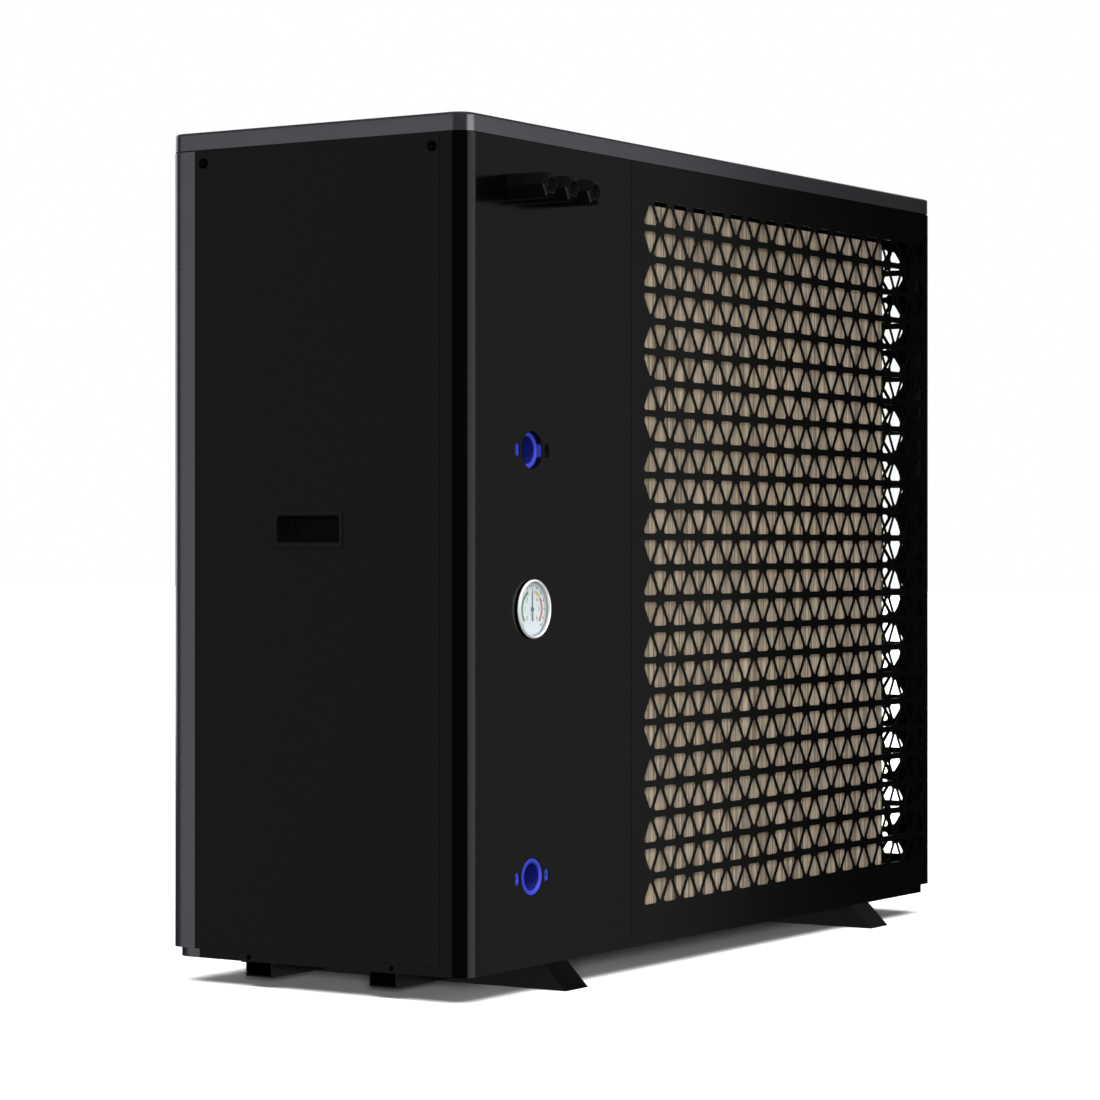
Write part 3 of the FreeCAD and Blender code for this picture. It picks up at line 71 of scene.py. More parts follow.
def softbox(name, place, aim, width, height, power, seen_in_gloss=True):
    """A rectangular area light at a place, turned to face a point."""
    light = bpy.data.lights.new(name, "AREA")
    light.shape = "RECTANGLE"
    light.size, light.size_y = width, height
    light.energy = power
    lamp = bpy.data.objects.new(name, light)
    lamp.location = place
    lamp.rotation_euler = (Vector(aim) - Vector(place)).to_track_quat("-Z", "Y").to_euler()
    lamp.visible_glossy = seen_in_gloss
    lamp.visible_camera = False
    bpy.context.scene.collection.objects.link(lamp)
    return lamp


softbox("key_light", (3.6, 2.25, 0.60), (0.0, 0.0, 0.48), 0.5, 0.5, 120.0, seen_in_gloss=False)
softbox("back_panel", (-0.36, 3.12, 0.60), (0.56, 0.2, 0.50), 2.92, 2.6, 22.5)
softbox("back_fill", (-2.20, 2.16, 0.60), (0.08, 0.21, 0.50), 1.24, 2.6, 1.75)
softbox("side_panel_light", (3.9, -2.2, 0.60), (0.56, 0.0, 0.50), 3.2, 3.2, 6.2)
softbox("front_panel_light", (-0.9, -3.6, 1.30), (0.0, -0.2, 0.50), 3.4, 2.6, 24.0)
softbox("fan_end_light", (-3.7, -0.9, 1.50), (-0.56, 0.0, 0.50), 2.6, 2.6, 16.0)
overhead = bpy.data.objects.new("overhead", bpy.data.lights.new("overhead", "SUN"))
overhead.data.energy, overhead.data.angle = 8.0, math.radians(90.0)
overhead.visible_glossy = False
bpy.context.scene.collection.objects.link(overhead)

world = bpy.data.worlds.new("studio")
bpy.context.scene.world = world
world.use_nodes = True
sky = world.node_tree
sky.nodes.clear()
path = sky.nodes.new("ShaderNodeLightPath")
around = sky.nodes.new("ShaderNodeBackground")
around.inputs["Color"].default_value = (0.90, 0.94, 1.0, 1.0)
around.inputs["Strength"].default_value = 0.010
backdrop = sky.nodes.new("ShaderNodeBackground")
backdrop.inputs["Color"].default_value = (1.0, 1.0, 1.0, 1.0)
choice = sky.nodes.new("ShaderNodeMixShader")
sky_out = sky.nodes.new("ShaderNodeOutputWorld")
sky.links.new(path.outputs["Is Camera Ray"], choice.inputs[0])
sky.links.new(around.outputs[0], choice.inputs[1])
sky.links.new(backdrop.outputs[0], choice.inputs[2])
sky.links.new(choice.outputs[0], sky_out.inputs["Surface"])


class Socket:
    """An output of a shader node.  Sums and products of sockets and numbers add Math nodes."""

    def __init__(self, tree, output):
        self.tree = tree
        self.output = output

    def node(self, kind, settings=None, inputs=None, output=0):
        """Add a node: its settings first, then values or links of its inputs; gives one output."""
        made = self.tree.nodes.new(kind)
        for name, setting in (settings or {}).items():
            if name == "stops":
                ramp = made.color_ramp.elements
                while len(ramp) < len(setting):
                    ramp.new(0.5)
                for element, (position, colour) in zip(ramp, setting):
                    element.position = position
                    element.color = (*colour, 1.0)
            else:
                setattr(made, name, setting)
        for key, source in (inputs or {}).items():
            if isinstance(source, Socket):
                self.tree.links.new(source.output, made.inputs[key])
            else:
                made.inputs[key].default_value = source
        return Socket(self.tree, made.outputs[output])

    def maths(self, operation, first, second=0.0):
        return self.node("ShaderNodeMath", {"operation": operation}, {0: first, 1: second})

    def __add__(self, other):
        return self.maths("ADD", self, other)

    def __radd__(self, other):
        return self.maths("ADD", other, self)

    def __mul__(self, other):
        return self.maths("MULTIPLY", self, other)

    def __rmul__(self, other):
        return self.maths("MULTIPLY", other, self)


def new_material(name):
    """A cleared node material, with its Object coordinates to build a finish from."""
    made = bpy.data.materials.new(name)
    made.use_nodes = True
    made.node_tree.nodes.clear()
    texture = made.node_tree.nodes.new("ShaderNodeTexCoord")
    return made, Socket(made.node_tree, texture.outputs["Object"])


def surface(made, place, inputs):
    """Close a material with a Principled shader that has these inputs."""
    shader = place.node("ShaderNodeBsdfPrincipled", {}, inputs)
    ending = place.tree.nodes.new("ShaderNodeOutputMaterial")
    made.node_tree.links.new(shader.output, ending.inputs["Surface"])
    return made


def noise(place, scale, detail=2.0, rough=0.5):
    return place.node("ShaderNodeTexNoise", {}, {"Vector": place, "Scale": scale, "Detail": detail,
                                                 "Roughness": rough})


def blend_colours(mask, low, high):
    """A colour between two, by a mask from 0 to 1."""
    return mask.node("ShaderNodeMix", {"data_type": "RGBA"}, {0: mask, 6: low, 7: high}, output=2)


def shade(colour, factor):
    return (*[min(1.0, part * factor) for part in colour[:3]], 1.0)


def bump(height, distance, strength=0.5):
    return height.node("ShaderNodeBump", {}, {"Strength": strength, "Distance": distance, "Height": height})


def powder_coat(name, colour, roughness, texture=0.00006, metallic=0.0):
    """Baked powder paint: an even colour with faint clouding, a fine peel, and slight sheen changes."""
    made, place = new_material(name)
    cloud = noise(place, 3.5, 4.0)
    peel = noise(place, 900.0, 3.0, 0.6)
    tint = blend_colours(cloud, shade(colour, 0.90), shade(colour, 1.10))
    return surface(made, place, {"Base Color": tint, "Roughness": roughness - 0.05 + 0.10 * cloud,
                                 "Metallic": metallic, "Normal": bump(peel, texture, 0.35)})


floor_paint, place = new_material("studio_floor")
surface(floor_paint, place, {"Base Color": (0.92, 0.92, 0.92, 1.0), "Roughness": 0.9,
                             "Specular IOR Level": 0.1})
floor_mesh = bpy.data.meshes.new("studio_floor")
floor_mesh.from_pydata([(-30, -30, 0), (30, -30, 0), (30, 30, 0), (-30, 30, 0)], [], [(0, 1, 2, 3)])
floor_mesh.materials.append(floor_paint)
floor = bpy.data.objects.new("studio_floor", floor_mesh)
bpy.context.scene.collection.objects.link(floor)
floor.visible_diffuse = floor.visible_glossy = False


# ---------------------------------------------------------------------------------------------
# Base, feet, rails and cabinet sheets.  Folded steel sheet, powder coated: black on the back, the
# service side and the base, anthracite on the front, the front sill and the lid.
# ---------------------------------------------------------------------------------------------
BLACK = (0.0009, 0.0009, 0.00095)
ANTHRACITE = (0.29, 0.295, 0.325)


def dress(material, names):
    """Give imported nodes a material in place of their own."""
    for name in names:
        for slot in NODES[name].material_slots:
            slot.material = material


black_coat = powder_coat("black_coat", BLACK, 0.17)
anthracite_coat = powder_coat("anthracite_coat", ANTHRACITE, 0.22, metallic=0.93)
dress(black_coat, ["side_panel", "service_back_panel", "grille_panel", "rear_corner_post",
                   "fan_end_panel", "base_skirt", "base_pan", "foot_service", "foot_fan", "rail_front",
                   "rail_back", "top_frame"])
dress(anthracite_coat, ["front_panel", "front_sill"])


def piece(name, points, faces, material, smooth=30.0):
    """A mesh object from arrays of corners and faces, smooth where faces meet within an angle."""
    mesh = bpy.data.meshes.new(name)
    mesh.from_pydata([tuple(point) for point in np.asarray(points, float)], [], faces)
    outward = bmesh.new()
    outward.from_mesh(mesh)
    bmesh.ops.recalc_face_normals(outward, faces=outward.faces)
    outward.to_mesh(mesh)
    outward.free()
    mesh.materials.append(material)
    mesh.polygons.foreach_set("use_smooth", np.ones(len(mesh.polygons), bool))
    mesh.set_sharp_from_angle(angle=math.radians(smooth))
    made = bpy.data.objects.new(name, mesh)
    bpy.context.scene.collection.objects.link(made)
    return made


def grid_faces(rows, columns, close_rows=False, close_columns=False, start=0):
    """Quads between neighbours on a grid of points, joined end to end where asked."""
    row = np.arange(rows if close_rows else rows - 1)[:, None]
    column = np.arange(columns if close_columns else columns - 1)[None, :]
    next_row, next_column = (row + 1) % rows, (column + 1) % columns
    quads = np.stack([row * columns + column, row * columns + next_column,
                      next_row * columns + next_column, next_row * columns + column], -1)
    return (quads.reshape(-1, 4) + start).tolist()


def joined(parts):
    """Several (points, faces) as one."""
    points, faces, start = [], [], 0
    for some, quads in parts:
        points.append(np.asarray(some, float))
        faces += [[corner + start for corner in quad] for quad in quads]
        start += len(some)
    return np.concatenate(points), faces


def settle(made, body, node=None):
    """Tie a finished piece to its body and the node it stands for."""
    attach(made, body)
    if node:
        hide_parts(node)
    return made


def rounded_loop(low, high, radius, steps=8):
    """Points round a rectangle with arc corners, counter-clockwise seen from +Z."""
    centres = [(high[0] - radius, high[1] - radius), (low[0] + radius, high[1] - radius),
               (low[0] + radius, low[1] + radius), (high[0] - radius, low[1] + radius)]
    arc = np.linspace(0.0, math.pi / 2, steps + 1)
    loops = [np.stack([centre[0] + radius * np.cos(arc + quarter * math.pi / 2),
                       centre[1] + radius * np.sin(arc + quarter * math.pi / 2)], -1)
             for quarter, centre in enumerate(centres)]
    return np.concatenate(loops)


def loft(loops, closed=False):
    """Skin over loops of equal length: capped at both ends, or joined end to start where closed."""
    rows, columns = len(loops), len(loops[0])
    faces = grid_faces(rows, columns, closed, True)
    if not closed:
        faces.append(list(range(columns)))
        faces.append([(rows - 1) * columns + step for step in range(columns)])
    return np.concatenate(loops), faces


AXES = {"x": ((0, 1, 0), (0, 0, 1), (1, 0, 0)), "y": ((1, 0, 0), (0, 0, 1), (0, 1, 0)),
        "z": ((1, 0, 0), (0, 1, 0), (0, 0, 1))}


def turns(segments):
    return np.linspace(0.0, 2 * math.pi, segments, endpoint=False)


def lathe(centre, axis, profile, segments=64, closed=False):
    """A profile of (radius, place along the axis) turned about it: c + r (u cos a + v sin a) + w s."""
    across, up, along = [np.array(part, float) for part in AXES[axis]]
    base = np.array(centre, float) * (1.0 - along)
    angle = turns(segments)
    loops = []
    for radius, reach in profile:
        width = np.broadcast_to(radius, angle.shape)
        loops.append(base + along * reach + (width * np.cos(angle))[:, None] * across
                     + (width * np.sin(angle))[:, None] * up)
    return loft(loops, closed)


def hexagon(flats, limit, segments=72):
    """The radius of a hexagon at each angle, cut off by a circle: min(f / 2 cos(a mod 60 - 30), limit)."""
    angle = turns(segments)
    return np.minimum(flats / 2 / np.cos(angle % (math.pi / 3) - math.pi / 6), limit)


# ---------------------------------------------------------------------------------------------
# Lid.  One folded sheet: a flat top whose edges roll over into a skirt.  It is coated anthracite
# and lifts off.
# ---------------------------------------------------------------------------------------------
low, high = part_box("top_cover")
SHEET, ROLL, LID_CORNER = 0.0012, 0.0030, 0.019
roll = np.linspace(0.0, math.pi / 2, 6)
outer_inset = np.concatenate([[0.0, 0.0], ROLL * (1 - np.cos(roll))])
outer_rise = np.concatenate([[low.z, low.z + 0.008], high.z - ROLL + ROLL * np.sin(roll)])
inner_inset = np.concatenate([SHEET + (ROLL - SHEET) * (1 - np.cos(roll))[::-1], [SHEET]])
inner_rise = np.concatenate([high.z - ROLL + (ROLL - SHEET) * np.sin(roll)[::-1], [low.z]])
rings = []
for inset, rise in zip([*inner_inset, *outer_inset], [*inner_rise, *outer_rise]):
    loop = rounded_loop((low.x + inset, low.y + inset), (high.x - inset, high.y - inset),
                        LID_CORNER - inset)
    rings.append(np.column_stack([loop, np.full(len(loop), rise)]))
around_lid = len(rings[0])
lid_points = np.concatenate(rings)
lid_faces = grid_faces(len(rings), around_lid, close_columns=True)
lid_faces.append([(len(rings) - 1) * around_lid + step for step in range(around_lid)])
lid_faces.append(list(range(around_lid))[::-1])
lid = piece("lid_sheet", lid_points, lid_faces, anthracite_coat)
settle(lid, "cover", "top_cover")


# ---------------------------------------------------------------------------------------------
# Coil.  Thin aluminium fins with a gold coating, stacked close together on copper tubes, between
# two galvanised end plates; the tubes' return bends stand out past the plates.
# ---------------------------------------------------------------------------------------------
def metal(name, colour, roughness, grain=60.0, spread=0.12, stretch=(1.0, 1.0, 1.0), depth=0.00002):
    """Bare or plated metal: a sheen that changes along its drawn or spangled grain."""
    made, place = new_material(name)
    turned = place.node("ShaderNodeMapping", {}, {"Vector": place, "Scale": stretch})
    streak = noise(turned, grain, 4.0, 0.6)
    tint = blend_colours(streak, shade(colour, 1.0 - spread), shade(colour, 1.0 + spread))
    return surface(made, place, {"Base Color": tint, "Metallic": 1.0,
                                 "Roughness": roughness - 0.1 + 0.2 * streak,
                                 "Normal": bump(streak, depth, 0.3)})


def spangle(name):
    """Galvanised sheet: zinc crystals a few millimetres wide, each with its own grey."""
    made, place = new_material(name)
    crystal = place.node("ShaderNodeTexVoronoi", {}, {"Vector": place, "Scale": 140.0}, output="Color")
    grey = place.node("ShaderNodeSeparateColor", {}, {"Color": crystal})
    tint = blend_colours(grey, (0.40, 0.42, 0.44, 1.0), (0.62, 0.64, 0.66, 1.0))
    return surface(made, place, {"Base Color": tint, "Metallic": 0.9, "Roughness": 0.34 + 0.2 * grey})


galvanised = spangle("galvanised")
copper = metal("copper_tube", (0.62, 0.30, 0.17), 0.34, 40.0)
dress(galvanised, ["coil_end_plates", "partition", "electric_box", "electric_box_cover", "motor_bracket",
                   "exchanger_stand"])
dress(copper, ["coil_return_bends", "refrigerant_pipes", "liquid_pipes", "gauge_capillary"])

low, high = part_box("coil_fins")
# The last number is the height of the black strip over the fins' top, a painted shade.
FIN_PITCH, FIN_THICK, SHADE_STRIP_HEIGHT = 0.0021, 0.0004, 0.006
fin_material, place = new_material("fin_coating")
dust = noise(place, 26.0, 5.0, 0.6)
# The fins' colour runs in narrow vertical streaks from dark brown to pale gold, one fin to the next. This is
# painted sheen and shade of fins catching the light unevenly. The faint clouds are dust.
stretched = place.node("ShaderNodeMapping", {}, {"Vector": place, "Scale": (300.0, 1.0, 5.0)})
fin_sheen_streak = place.node("ShaderNodeValToRGB", {"stops": [(0.38, (0, 0, 0)), (0.60, (1, 1, 1))]},
                  {"Fac": noise(stretched, 1.0, 3.0, 0.7)})
fin_dust_and_sheen_tint = blend_colours(0.85 * fin_sheen_streak + 0.15 * dust, (0.22, 0.175, 0.125, 1.0), (0.80, 0.68, 0.52, 1.0))
surface(fin_material, place, {"Base Color": fin_dust_and_sheen_tint, "Metallic": 0.15, "Roughness": 0.42 + 0.1 * dust})
fins = int((high.x - low.x) / FIN_PITCH)
fin_x = low.x + (np.arange(fins) + 0.5) * (high.x - low.x) / fins
top = high.z - SHADE_STRIP_HEIGHT
sides = np.array([(-1, low.y, low.z), (1, low.y, low.z), (1, high.y, low.z), (-1, high.y, low.z),
                  (-1, low.y, top), (1, low.y, top), (1, high.y, top), (-1, high.y, top)])
fin_points = np.repeat(sides[None], fins, 0)
fin_points[:, :, 0] = fin_x[:, None] + sides[None, :, 0] * FIN_THICK / 2
block = np.array([(0, 3, 2, 1), (4, 5, 6, 7), (0, 1, 5, 4), (2, 3, 7, 6), (1, 2, 6, 5), (0, 4, 7, 3)])
fin_faces = (block[None] + 8 * np.arange(fins)[:, None, None]).reshape(-1, 4).tolist()
fin_stack = piece("fin_stack", fin_points.reshape(-1, 3), fin_faces, fin_material)
settle(fin_stack, "cabinet", "coil_fins")
# A black strip over the top of the fins: painted shade, a dark sheet standing where the grille's upper holes
# look into shade.
top_shade_strip = loft([[(x, low.y, top), (x, high.y, top), (x, high.y, high.z), (x, low.y, high.z)]
               for x in (low.x + 0.0005, high.x - 0.0005)])
settle(piece("coil_top_shade_strip", *top_shade_strip, black_coat), "cabinet", None)


# ---------------------------------------------------------------------------------------------
# Water unions.  Glossy blue mouldings: a round mouth in the panel's opening, on a bar whose two ears
# are screwed behind the slots.  The outlet sits a little behind the panel.
# ---------------------------------------------------------------------------------------------
def moulded(name, colour, roughness, grain=700.0, coat=0.0, depth=0.00004):
    """Moulded plastic: faint flow clouds in the colour, and a fine spark-eroded grain."""
    made, place = new_material(name)
    cloud = noise(place, 14.0, 3.0)
    grit = noise(place, grain, 2.0, 0.6)
    tint = blend_colours(cloud, shade(colour, 0.90), shade(colour, 1.10))
    return surface(made, place, {"Base Color": tint, "Roughness": roughness - 0.05 + 0.1 * cloud,
                                 "Coat Weight": coat, "Normal": bump(grit, depth, 0.3)})


blue = moulded("blue_moulding", (0.040, 0.055, 0.56, 1.0), 0.30, coat=0.3)
# A darker blue for the thread inside each union's bore: painted shade of the bore's inside.
bore_shade_blue = moulded("blue_thread", (0.006, 0.009, 0.12, 1.0), 0.45)
PANEL_BACK = 0.2020
RING, BORE, SEAT = 0.0205, 0.0150, 0.0165
EAR, EAR_HOLE, EAR_HALF, EAR_REACH, EAR_THICK = 0.0295, 0.0020, 0.0075, 0.0140, 0.008
for name in ("outlet_union", "inlet_union"):
    low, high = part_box(name)
    middle = [(low.x + high.x) / 2, 0.0, (low.z + high.z) / 2]
    root, mouth = low.y, high.y
    wall = [(SEAT, root), (RING, root), (RING, mouth - 0.0012), (0.0202, mouth - 0.0004),
            (0.0196, mouth), (0.0161, mouth), (0.0154, mouth - 0.0004), (BORE, mouth - 0.0012),
            (BORE, root + 0.003), (SEAT, root + 0.003)]
    parts = [lathe(middle, "y", wall, 72, closed=True)]
    plate_back = min(mouth, PANEL_BACK) - 0.0012
    turn = turns(40)
    for sign in (-1, 1):
        slant = np.maximum(-np.cos(turn), 1e-9)
        reach = np.where(np.cos(turn) > 0, EAR_HALF,
                         np.minimum(EAR_HALF / np.maximum(np.abs(np.sin(turn)), 1e-9), EAR_REACH / slant))
        edges = [(EAR_HOLE, plate_back - EAR_THICK), (reach, plate_back - EAR_THICK),
                 (reach, plate_back - 0.0008), (reach - 0.0007, plate_back),
                 (EAR_HOLE + 0.0005, plate_back), (EAR_HOLE, plate_back - 0.0005)]
        loops = []
        for radius, y in edges:
            radius = np.broadcast_to(radius, turn.shape)
            loops.append(np.column_stack([middle[0] + sign * (EAR + radius * np.cos(turn)),
                                          np.full(len(turn), y), middle[2] + radius * np.sin(turn)]))
        parts.append(loft(loops, closed=True))
    settle(piece(name + "_moulding", *joined(parts), blue), "cabinet", name)
    # A ridged insert lines the bore and carries the darker blue, painting the shade inside the union's mouth.
    ridges = np.arange(root + 0.004, mouth - 0.0028, 0.0015)
    crest = [spot for y in ridges for spot in ((0.01495, y), (0.0146, y + 0.0006), (0.01495, y + 0.0012))]
    thread = crest + [(0.01499, crest[-1][1]), (0.01499, crest[0][1])]
    threaded = lathe(middle, "y", thread, 64, closed=True)
    settle(piece(name + "_thread", *threaded, bore_shade_blue), "cabinet", None)


# ---------------------------------------------------------------------------------------------
# Cable glands.  Satin black nylon: a hexagon body through the panel, and a dome nut that turns on it
# and squeezes a rubber seal round the cable.
# ---------------------------------------------------------------------------------------------
nylon = moulded("gland_nylon", (0.0022, 0.0022, 0.0024, 1.0), 0.30)
rubber = moulded("black_rubber", (0.006, 0.006, 0.006, 1.0), 0.62, 400.0)
FLATS = 0.0277
bodies = []
for number in (1, 2, 3):
    nut = "gland_nut_%d" % number
    low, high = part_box(nut)
    middle = [(low.x + high.x) / 2, 0.0, (low.z + high.z) / 2]
    start, tip = low.y, high.y
    outer = [(FLATS, 0.0135, start), (FLATS, 0.0150, start + 0.0010), (FLATS, 0.0159, start + 0.0022),
             (FLATS, 0.0159, start + 0.0222), (FLATS - 0.0006, 0.0157, start + 0.0236),
             (0.0264, 0.0152, tip - 0.0034), (0.0258, 0.0147, tip - 0.0026), (0.0190, 0.0109, tip - 0.0005),
             (0.0182, 0.0104, tip)]
    profile = [(hexagon(flats, limit), y) for flats, limit, y in outer]
    profile += [(0.0084, tip), (0.0080, tip - 0.0007), (0.0079, start + 0.0146), (0.01095, start + 0.0142),
                (0.01095, start)]
    shell = piece(nut + "_shell", *lathe(middle, "y", profile, 72, closed=True), nylon, 24.0)
    settle(shell, "nut_%d" % number, nut)
    seal = lathe(middle, "y", [(0.0070, tip - 0.0120), (0.0078, tip - 0.0120), (0.0078, tip - 0.0016),
                               (0.0074, tip - 0.0010), (0.0070, tip - 0.0016)], 48, closed=True)
    settle(piece("gland_seal_%d" % number, *seal, rubber), "nut_%d" % number, None)
    profile = [(0.0080, 0.1905), (0.0110, 0.1905), (0.0110, PANEL_BACK), (hexagon(FLATS, 0.0148), PANEL_BACK),
               (hexagon(FLATS, 0.0160), PANEL_BACK + 0.0012), (hexagon(FLATS, 0.0160), PANEL_BACK + 0.0142),
               (hexagon(FLATS, 0.0146), PANEL_BACK + 0.0158), (0.0109, PANEL_BACK + 0.0158), (0.0109, 0.2415),
               (0.0080, 0.2415)]
    bodies.append(lathe(middle, "y", profile, 72, closed=True))
settle(piece("gland_body_set", *joined(bodies), nylon, 24.0), "cabinet", "gland_bodies")


# ---------------------------------------------------------------------------------------------
# Pressure gauge.  A black enamelled case with a chromed bezel ring holds a printed dial with coloured
# ranges, a black needle on its staff, and a flat glass.  The bezel's shine is a painted reflection: a
# near-white, mostly diffuse colour.
# ---------------------------------------------------------------------------------------------
# The bezel's chrome is drawn as a near-white, mostly non-metallic colour: a painted reflection, bright all
# round the ring.
bezel_white_sheen, place = new_material("chrome_painted_white")
haze = noise(place, 30.0, 3.0)
surface(bezel_white_sheen, place, {"Base Color": blend_colours(haze, (0.90, 0.91, 0.93, 1.0), (1.0, 1.0, 1.0, 1.0)),
                        "Metallic": 0.3, "Roughness": 0.10 + 0.06 * haze, "Coat Weight": 0.5})
dial_print = moulded("dial_print", (0.70, 0.80, 0.84, 1.0), 0.5)
case_enamel = moulded("gauge_enamel", (0.0020, 0.0020, 0.0022, 1.0), 0.30)
liner_metal = metal("gauge_liner", (0.50, 0.52, 0.54), 0.3, 90.0)
low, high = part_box("gauge_case")
GAUGE = [(low.x + high.x) / 2, 0.0, (low.z + high.z) / 2]
BEZEL, DIAL = 0.0325, 0.0284
front = high.y
case = [(0.0060, low.y), (0.0270, low.y + 0.0002), (DIAL, low.y + 0.002), (0.0286, PANEL_BACK),
        (0.0318, PANEL_BACK), (BEZEL, PANEL_BACK + 0.0008), (BEZEL, front - 0.0026),
        (0.0290, front - 0.0026), (0.0290, PANEL_BACK - 0.0008), (0.0060, PANEL_BACK - 0.0008)]
turned_case = lathe(GAUGE, "y", case, 96, closed=True)
settle(piece("gauge_shell", *turned_case, case_enamel), "cabinet", "gauge_case")
ring = [(BEZEL, front - 0.0026), (BEZEL, front - 0.0016), (0.0319, front - 0.0006), (0.0309, front),
        (0.0299, front - 0.0004), (0.0293, front - 0.0014), (0.0293, front - 0.0026)]
turned_ring = lathe(GAUGE, "y", ring, 96, closed=True)
settle(piece("gauge_bezel", *turned_ring, bezel_white_sheen), "cabinet", None)
liner = [(0.02895, front - 0.0028), (0.02895, PANEL_BACK), (0.0280, PANEL_BACK),
         (0.0280, PANEL_BACK + 0.0004), (0.0286, front - 0.0028)]
turned_liner = lathe(GAUGE, "y", liner, 96, closed=True)
settle(piece("gauge_liner", *turned_liner, liner_metal), "cabinet", None)
face = PANEL_BACK - 0.0003
plate = [(0.0015, face - 0.0006), (DIAL, face - 0.0006), (DIAL, face), (0.0015, face)]
turned_plate = lathe(GAUGE, "y", plate, 72, closed=True)
settle(piece("gauge_plate", *turned_plate, dial_print), "cabinet", "gauge_dial")


def on_dial(radius, clockwise, rise=0.00006):
    """A point on the dial, its angle clockwise from the top as seen from the back of the cabinet."""
    angle = np.radians(clockwise)
    return np.stack(np.broadcast_arrays(GAUGE[0] - radius * np.sin(angle), face + rise,
                                        GAUGE[2] + radius * np.cos(angle)), -1)


def sector(inner, outer, first, last, rise=0.00006):
    """A flat band on the dial between two radii and two angles."""
    steps = max(2, int(abs(last - first) / 3))
    angle = np.linspace(first, last, steps + 1)
    points = np.concatenate([on_dial(inner, angle, rise), on_dial(outer, angle, rise)])
    return points, [[step, step + 1, steps + 2 + step, steps + 1 + step] for step in range(steps)]


for name, colour, first, last in (("green", (0.006, 0.15, 0.03, 1.0), -132, -22),
                                  ("yellow", (0.60, 0.42, 0.01, 1.0), 14, 48),
                                  ("red", (0.50, 0.02, 0.01, 1.0), 52, 132)):
    ink = moulded("dial_%s_ink" % name, colour, 0.5)
    band = sector(0.0180, 0.0215, first, last)
    settle(piece("dial_range_" + name, *band, ink), "cabinet", None)
dark_ink = moulded("dial_dark_ink", (0.02, 0.02, 0.022, 1.0), 0.5)
TICK_STEP, NUMERAL_HEIGHT, NUMERAL_RADIUS, MARK_RISE = 4.5, 0.0070, 0.0140, 0.00008


def tick(step):
    """A line across the dial's edge, longer and wider at each fifth step."""
    inner, half = (0.0250, 0.8) if step % 5 else (0.0232, 1.5)
    return sector(inner, 0.0268, step * TICK_STEP - half, step * TICK_STEP + half, MARK_RISE)


def numeral(number):
    """A filled number, laid on the dial inside its long tick."""
    curve = bpy.data.curves.new("numeral", "FONT")
    curve.body, curve.size = str(number), NUMERAL_HEIGHT
    curve.align_x, curve.align_y = "CENTER", "CENTER"
    writer = bpy.data.objects.new("numeral", curve)
    bpy.context.scene.collection.objects.link(writer)
    drawn = writer.evaluated_get(bpy.context.evaluated_depsgraph_get()).to_mesh()
    spots = np.array([vertex.co for vertex in drawn.vertices])
    faces = [list(filled.vertices) for filled in drawn.polygons]
    bpy.data.objects.remove(writer)
    bpy.data.curves.remove(curve)
    centre = on_dial(NUMERAL_RADIUS, -135 + 45 * number, MARK_RISE)
    return np.column_stack([centre[0] - spots[:, 0], np.full(len(spots), centre[1]),
                            centre[2] + spots[:, 1]]), faces


marks = [tick(step) for step in range(-30, 31)] + [numeral(number) for number in range(7)]
settle(piece("dial_marks", *joined(marks), dark_ink), "cabinet", None)

low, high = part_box("gauge_needle")
needle_paint = moulded("needle_paint", (0.008, 0.008, 0.009, 1.0), 0.45)
outline = [(-0.0011, low.z), (0.0011, low.z), (0.0009, GAUGE[2]), (0.0003, high.z), (-0.0003, high.z),
           (-0.0009, GAUGE[2])]
blade = loft([[(GAUGE[0] + across, y, up) for across, up in outline]
              for y in (low.y + 0.0004, low.y + 0.0009)])
boss = lathe(GAUGE, "y", [(0.0012, low.y + 0.0001), (0.0028, low.y + 0.0001), (0.0028, high.y - 0.0005),
                          (0.0022, high.y), (0.0005, high.y)], 32)
settle(piece("gauge_pointer", *joined([blade, boss]), needle_paint), "needle", "gauge_needle")
glass, place = new_material("gauge_glass")
smear = noise(place, 60.0, 3.0)
surface(glass, place, {"Base Color": (0.95, 0.98, 1.0, 1.0), "Roughness": 0.03 + 0.05 * smear, "Alpha": 0.10})
dress(glass, ["gauge_glass"])


# ---------------------------------------------------------------------------------------------
# Handle and screws.  A black plastic cup with a thin raised rim, pressed into the side panel, and
# black pan-head screws with a hexagon socket.
# ---------------------------------------------------------------------------------------------
black_plastic = moulded("black_plastic", (0.0030, 0.0030, 0.0032, 1.0), 0.32)
low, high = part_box("handle_cup")
SIDE = 0.560
RIM_HIGH, HOLE, SCOOP = high.x, (0.0055, 0.0066), 0.38


def cup_loop(inset, x, radius, scoop=0.0):
    """A rounded rectangle in the side panel's plane, inset by (along, up) from the rim's edge.  With a
    scoop s its lower points come forward by s (z_top - z)."""
    flat = rounded_loop((low.y + inset[0], low.z + inset[1]), (high.y - inset[0], high.z - inset[1]),
                        radius, 6)
    return np.column_stack([x + scoop * (high.z - HOLE[1] - flat[:, 1]), flat])


def past_mouth(more):
    """The inset of a loop that lies this far inside the cup's mouth."""
    return HOLE[0] + more, HOLE[1] + more


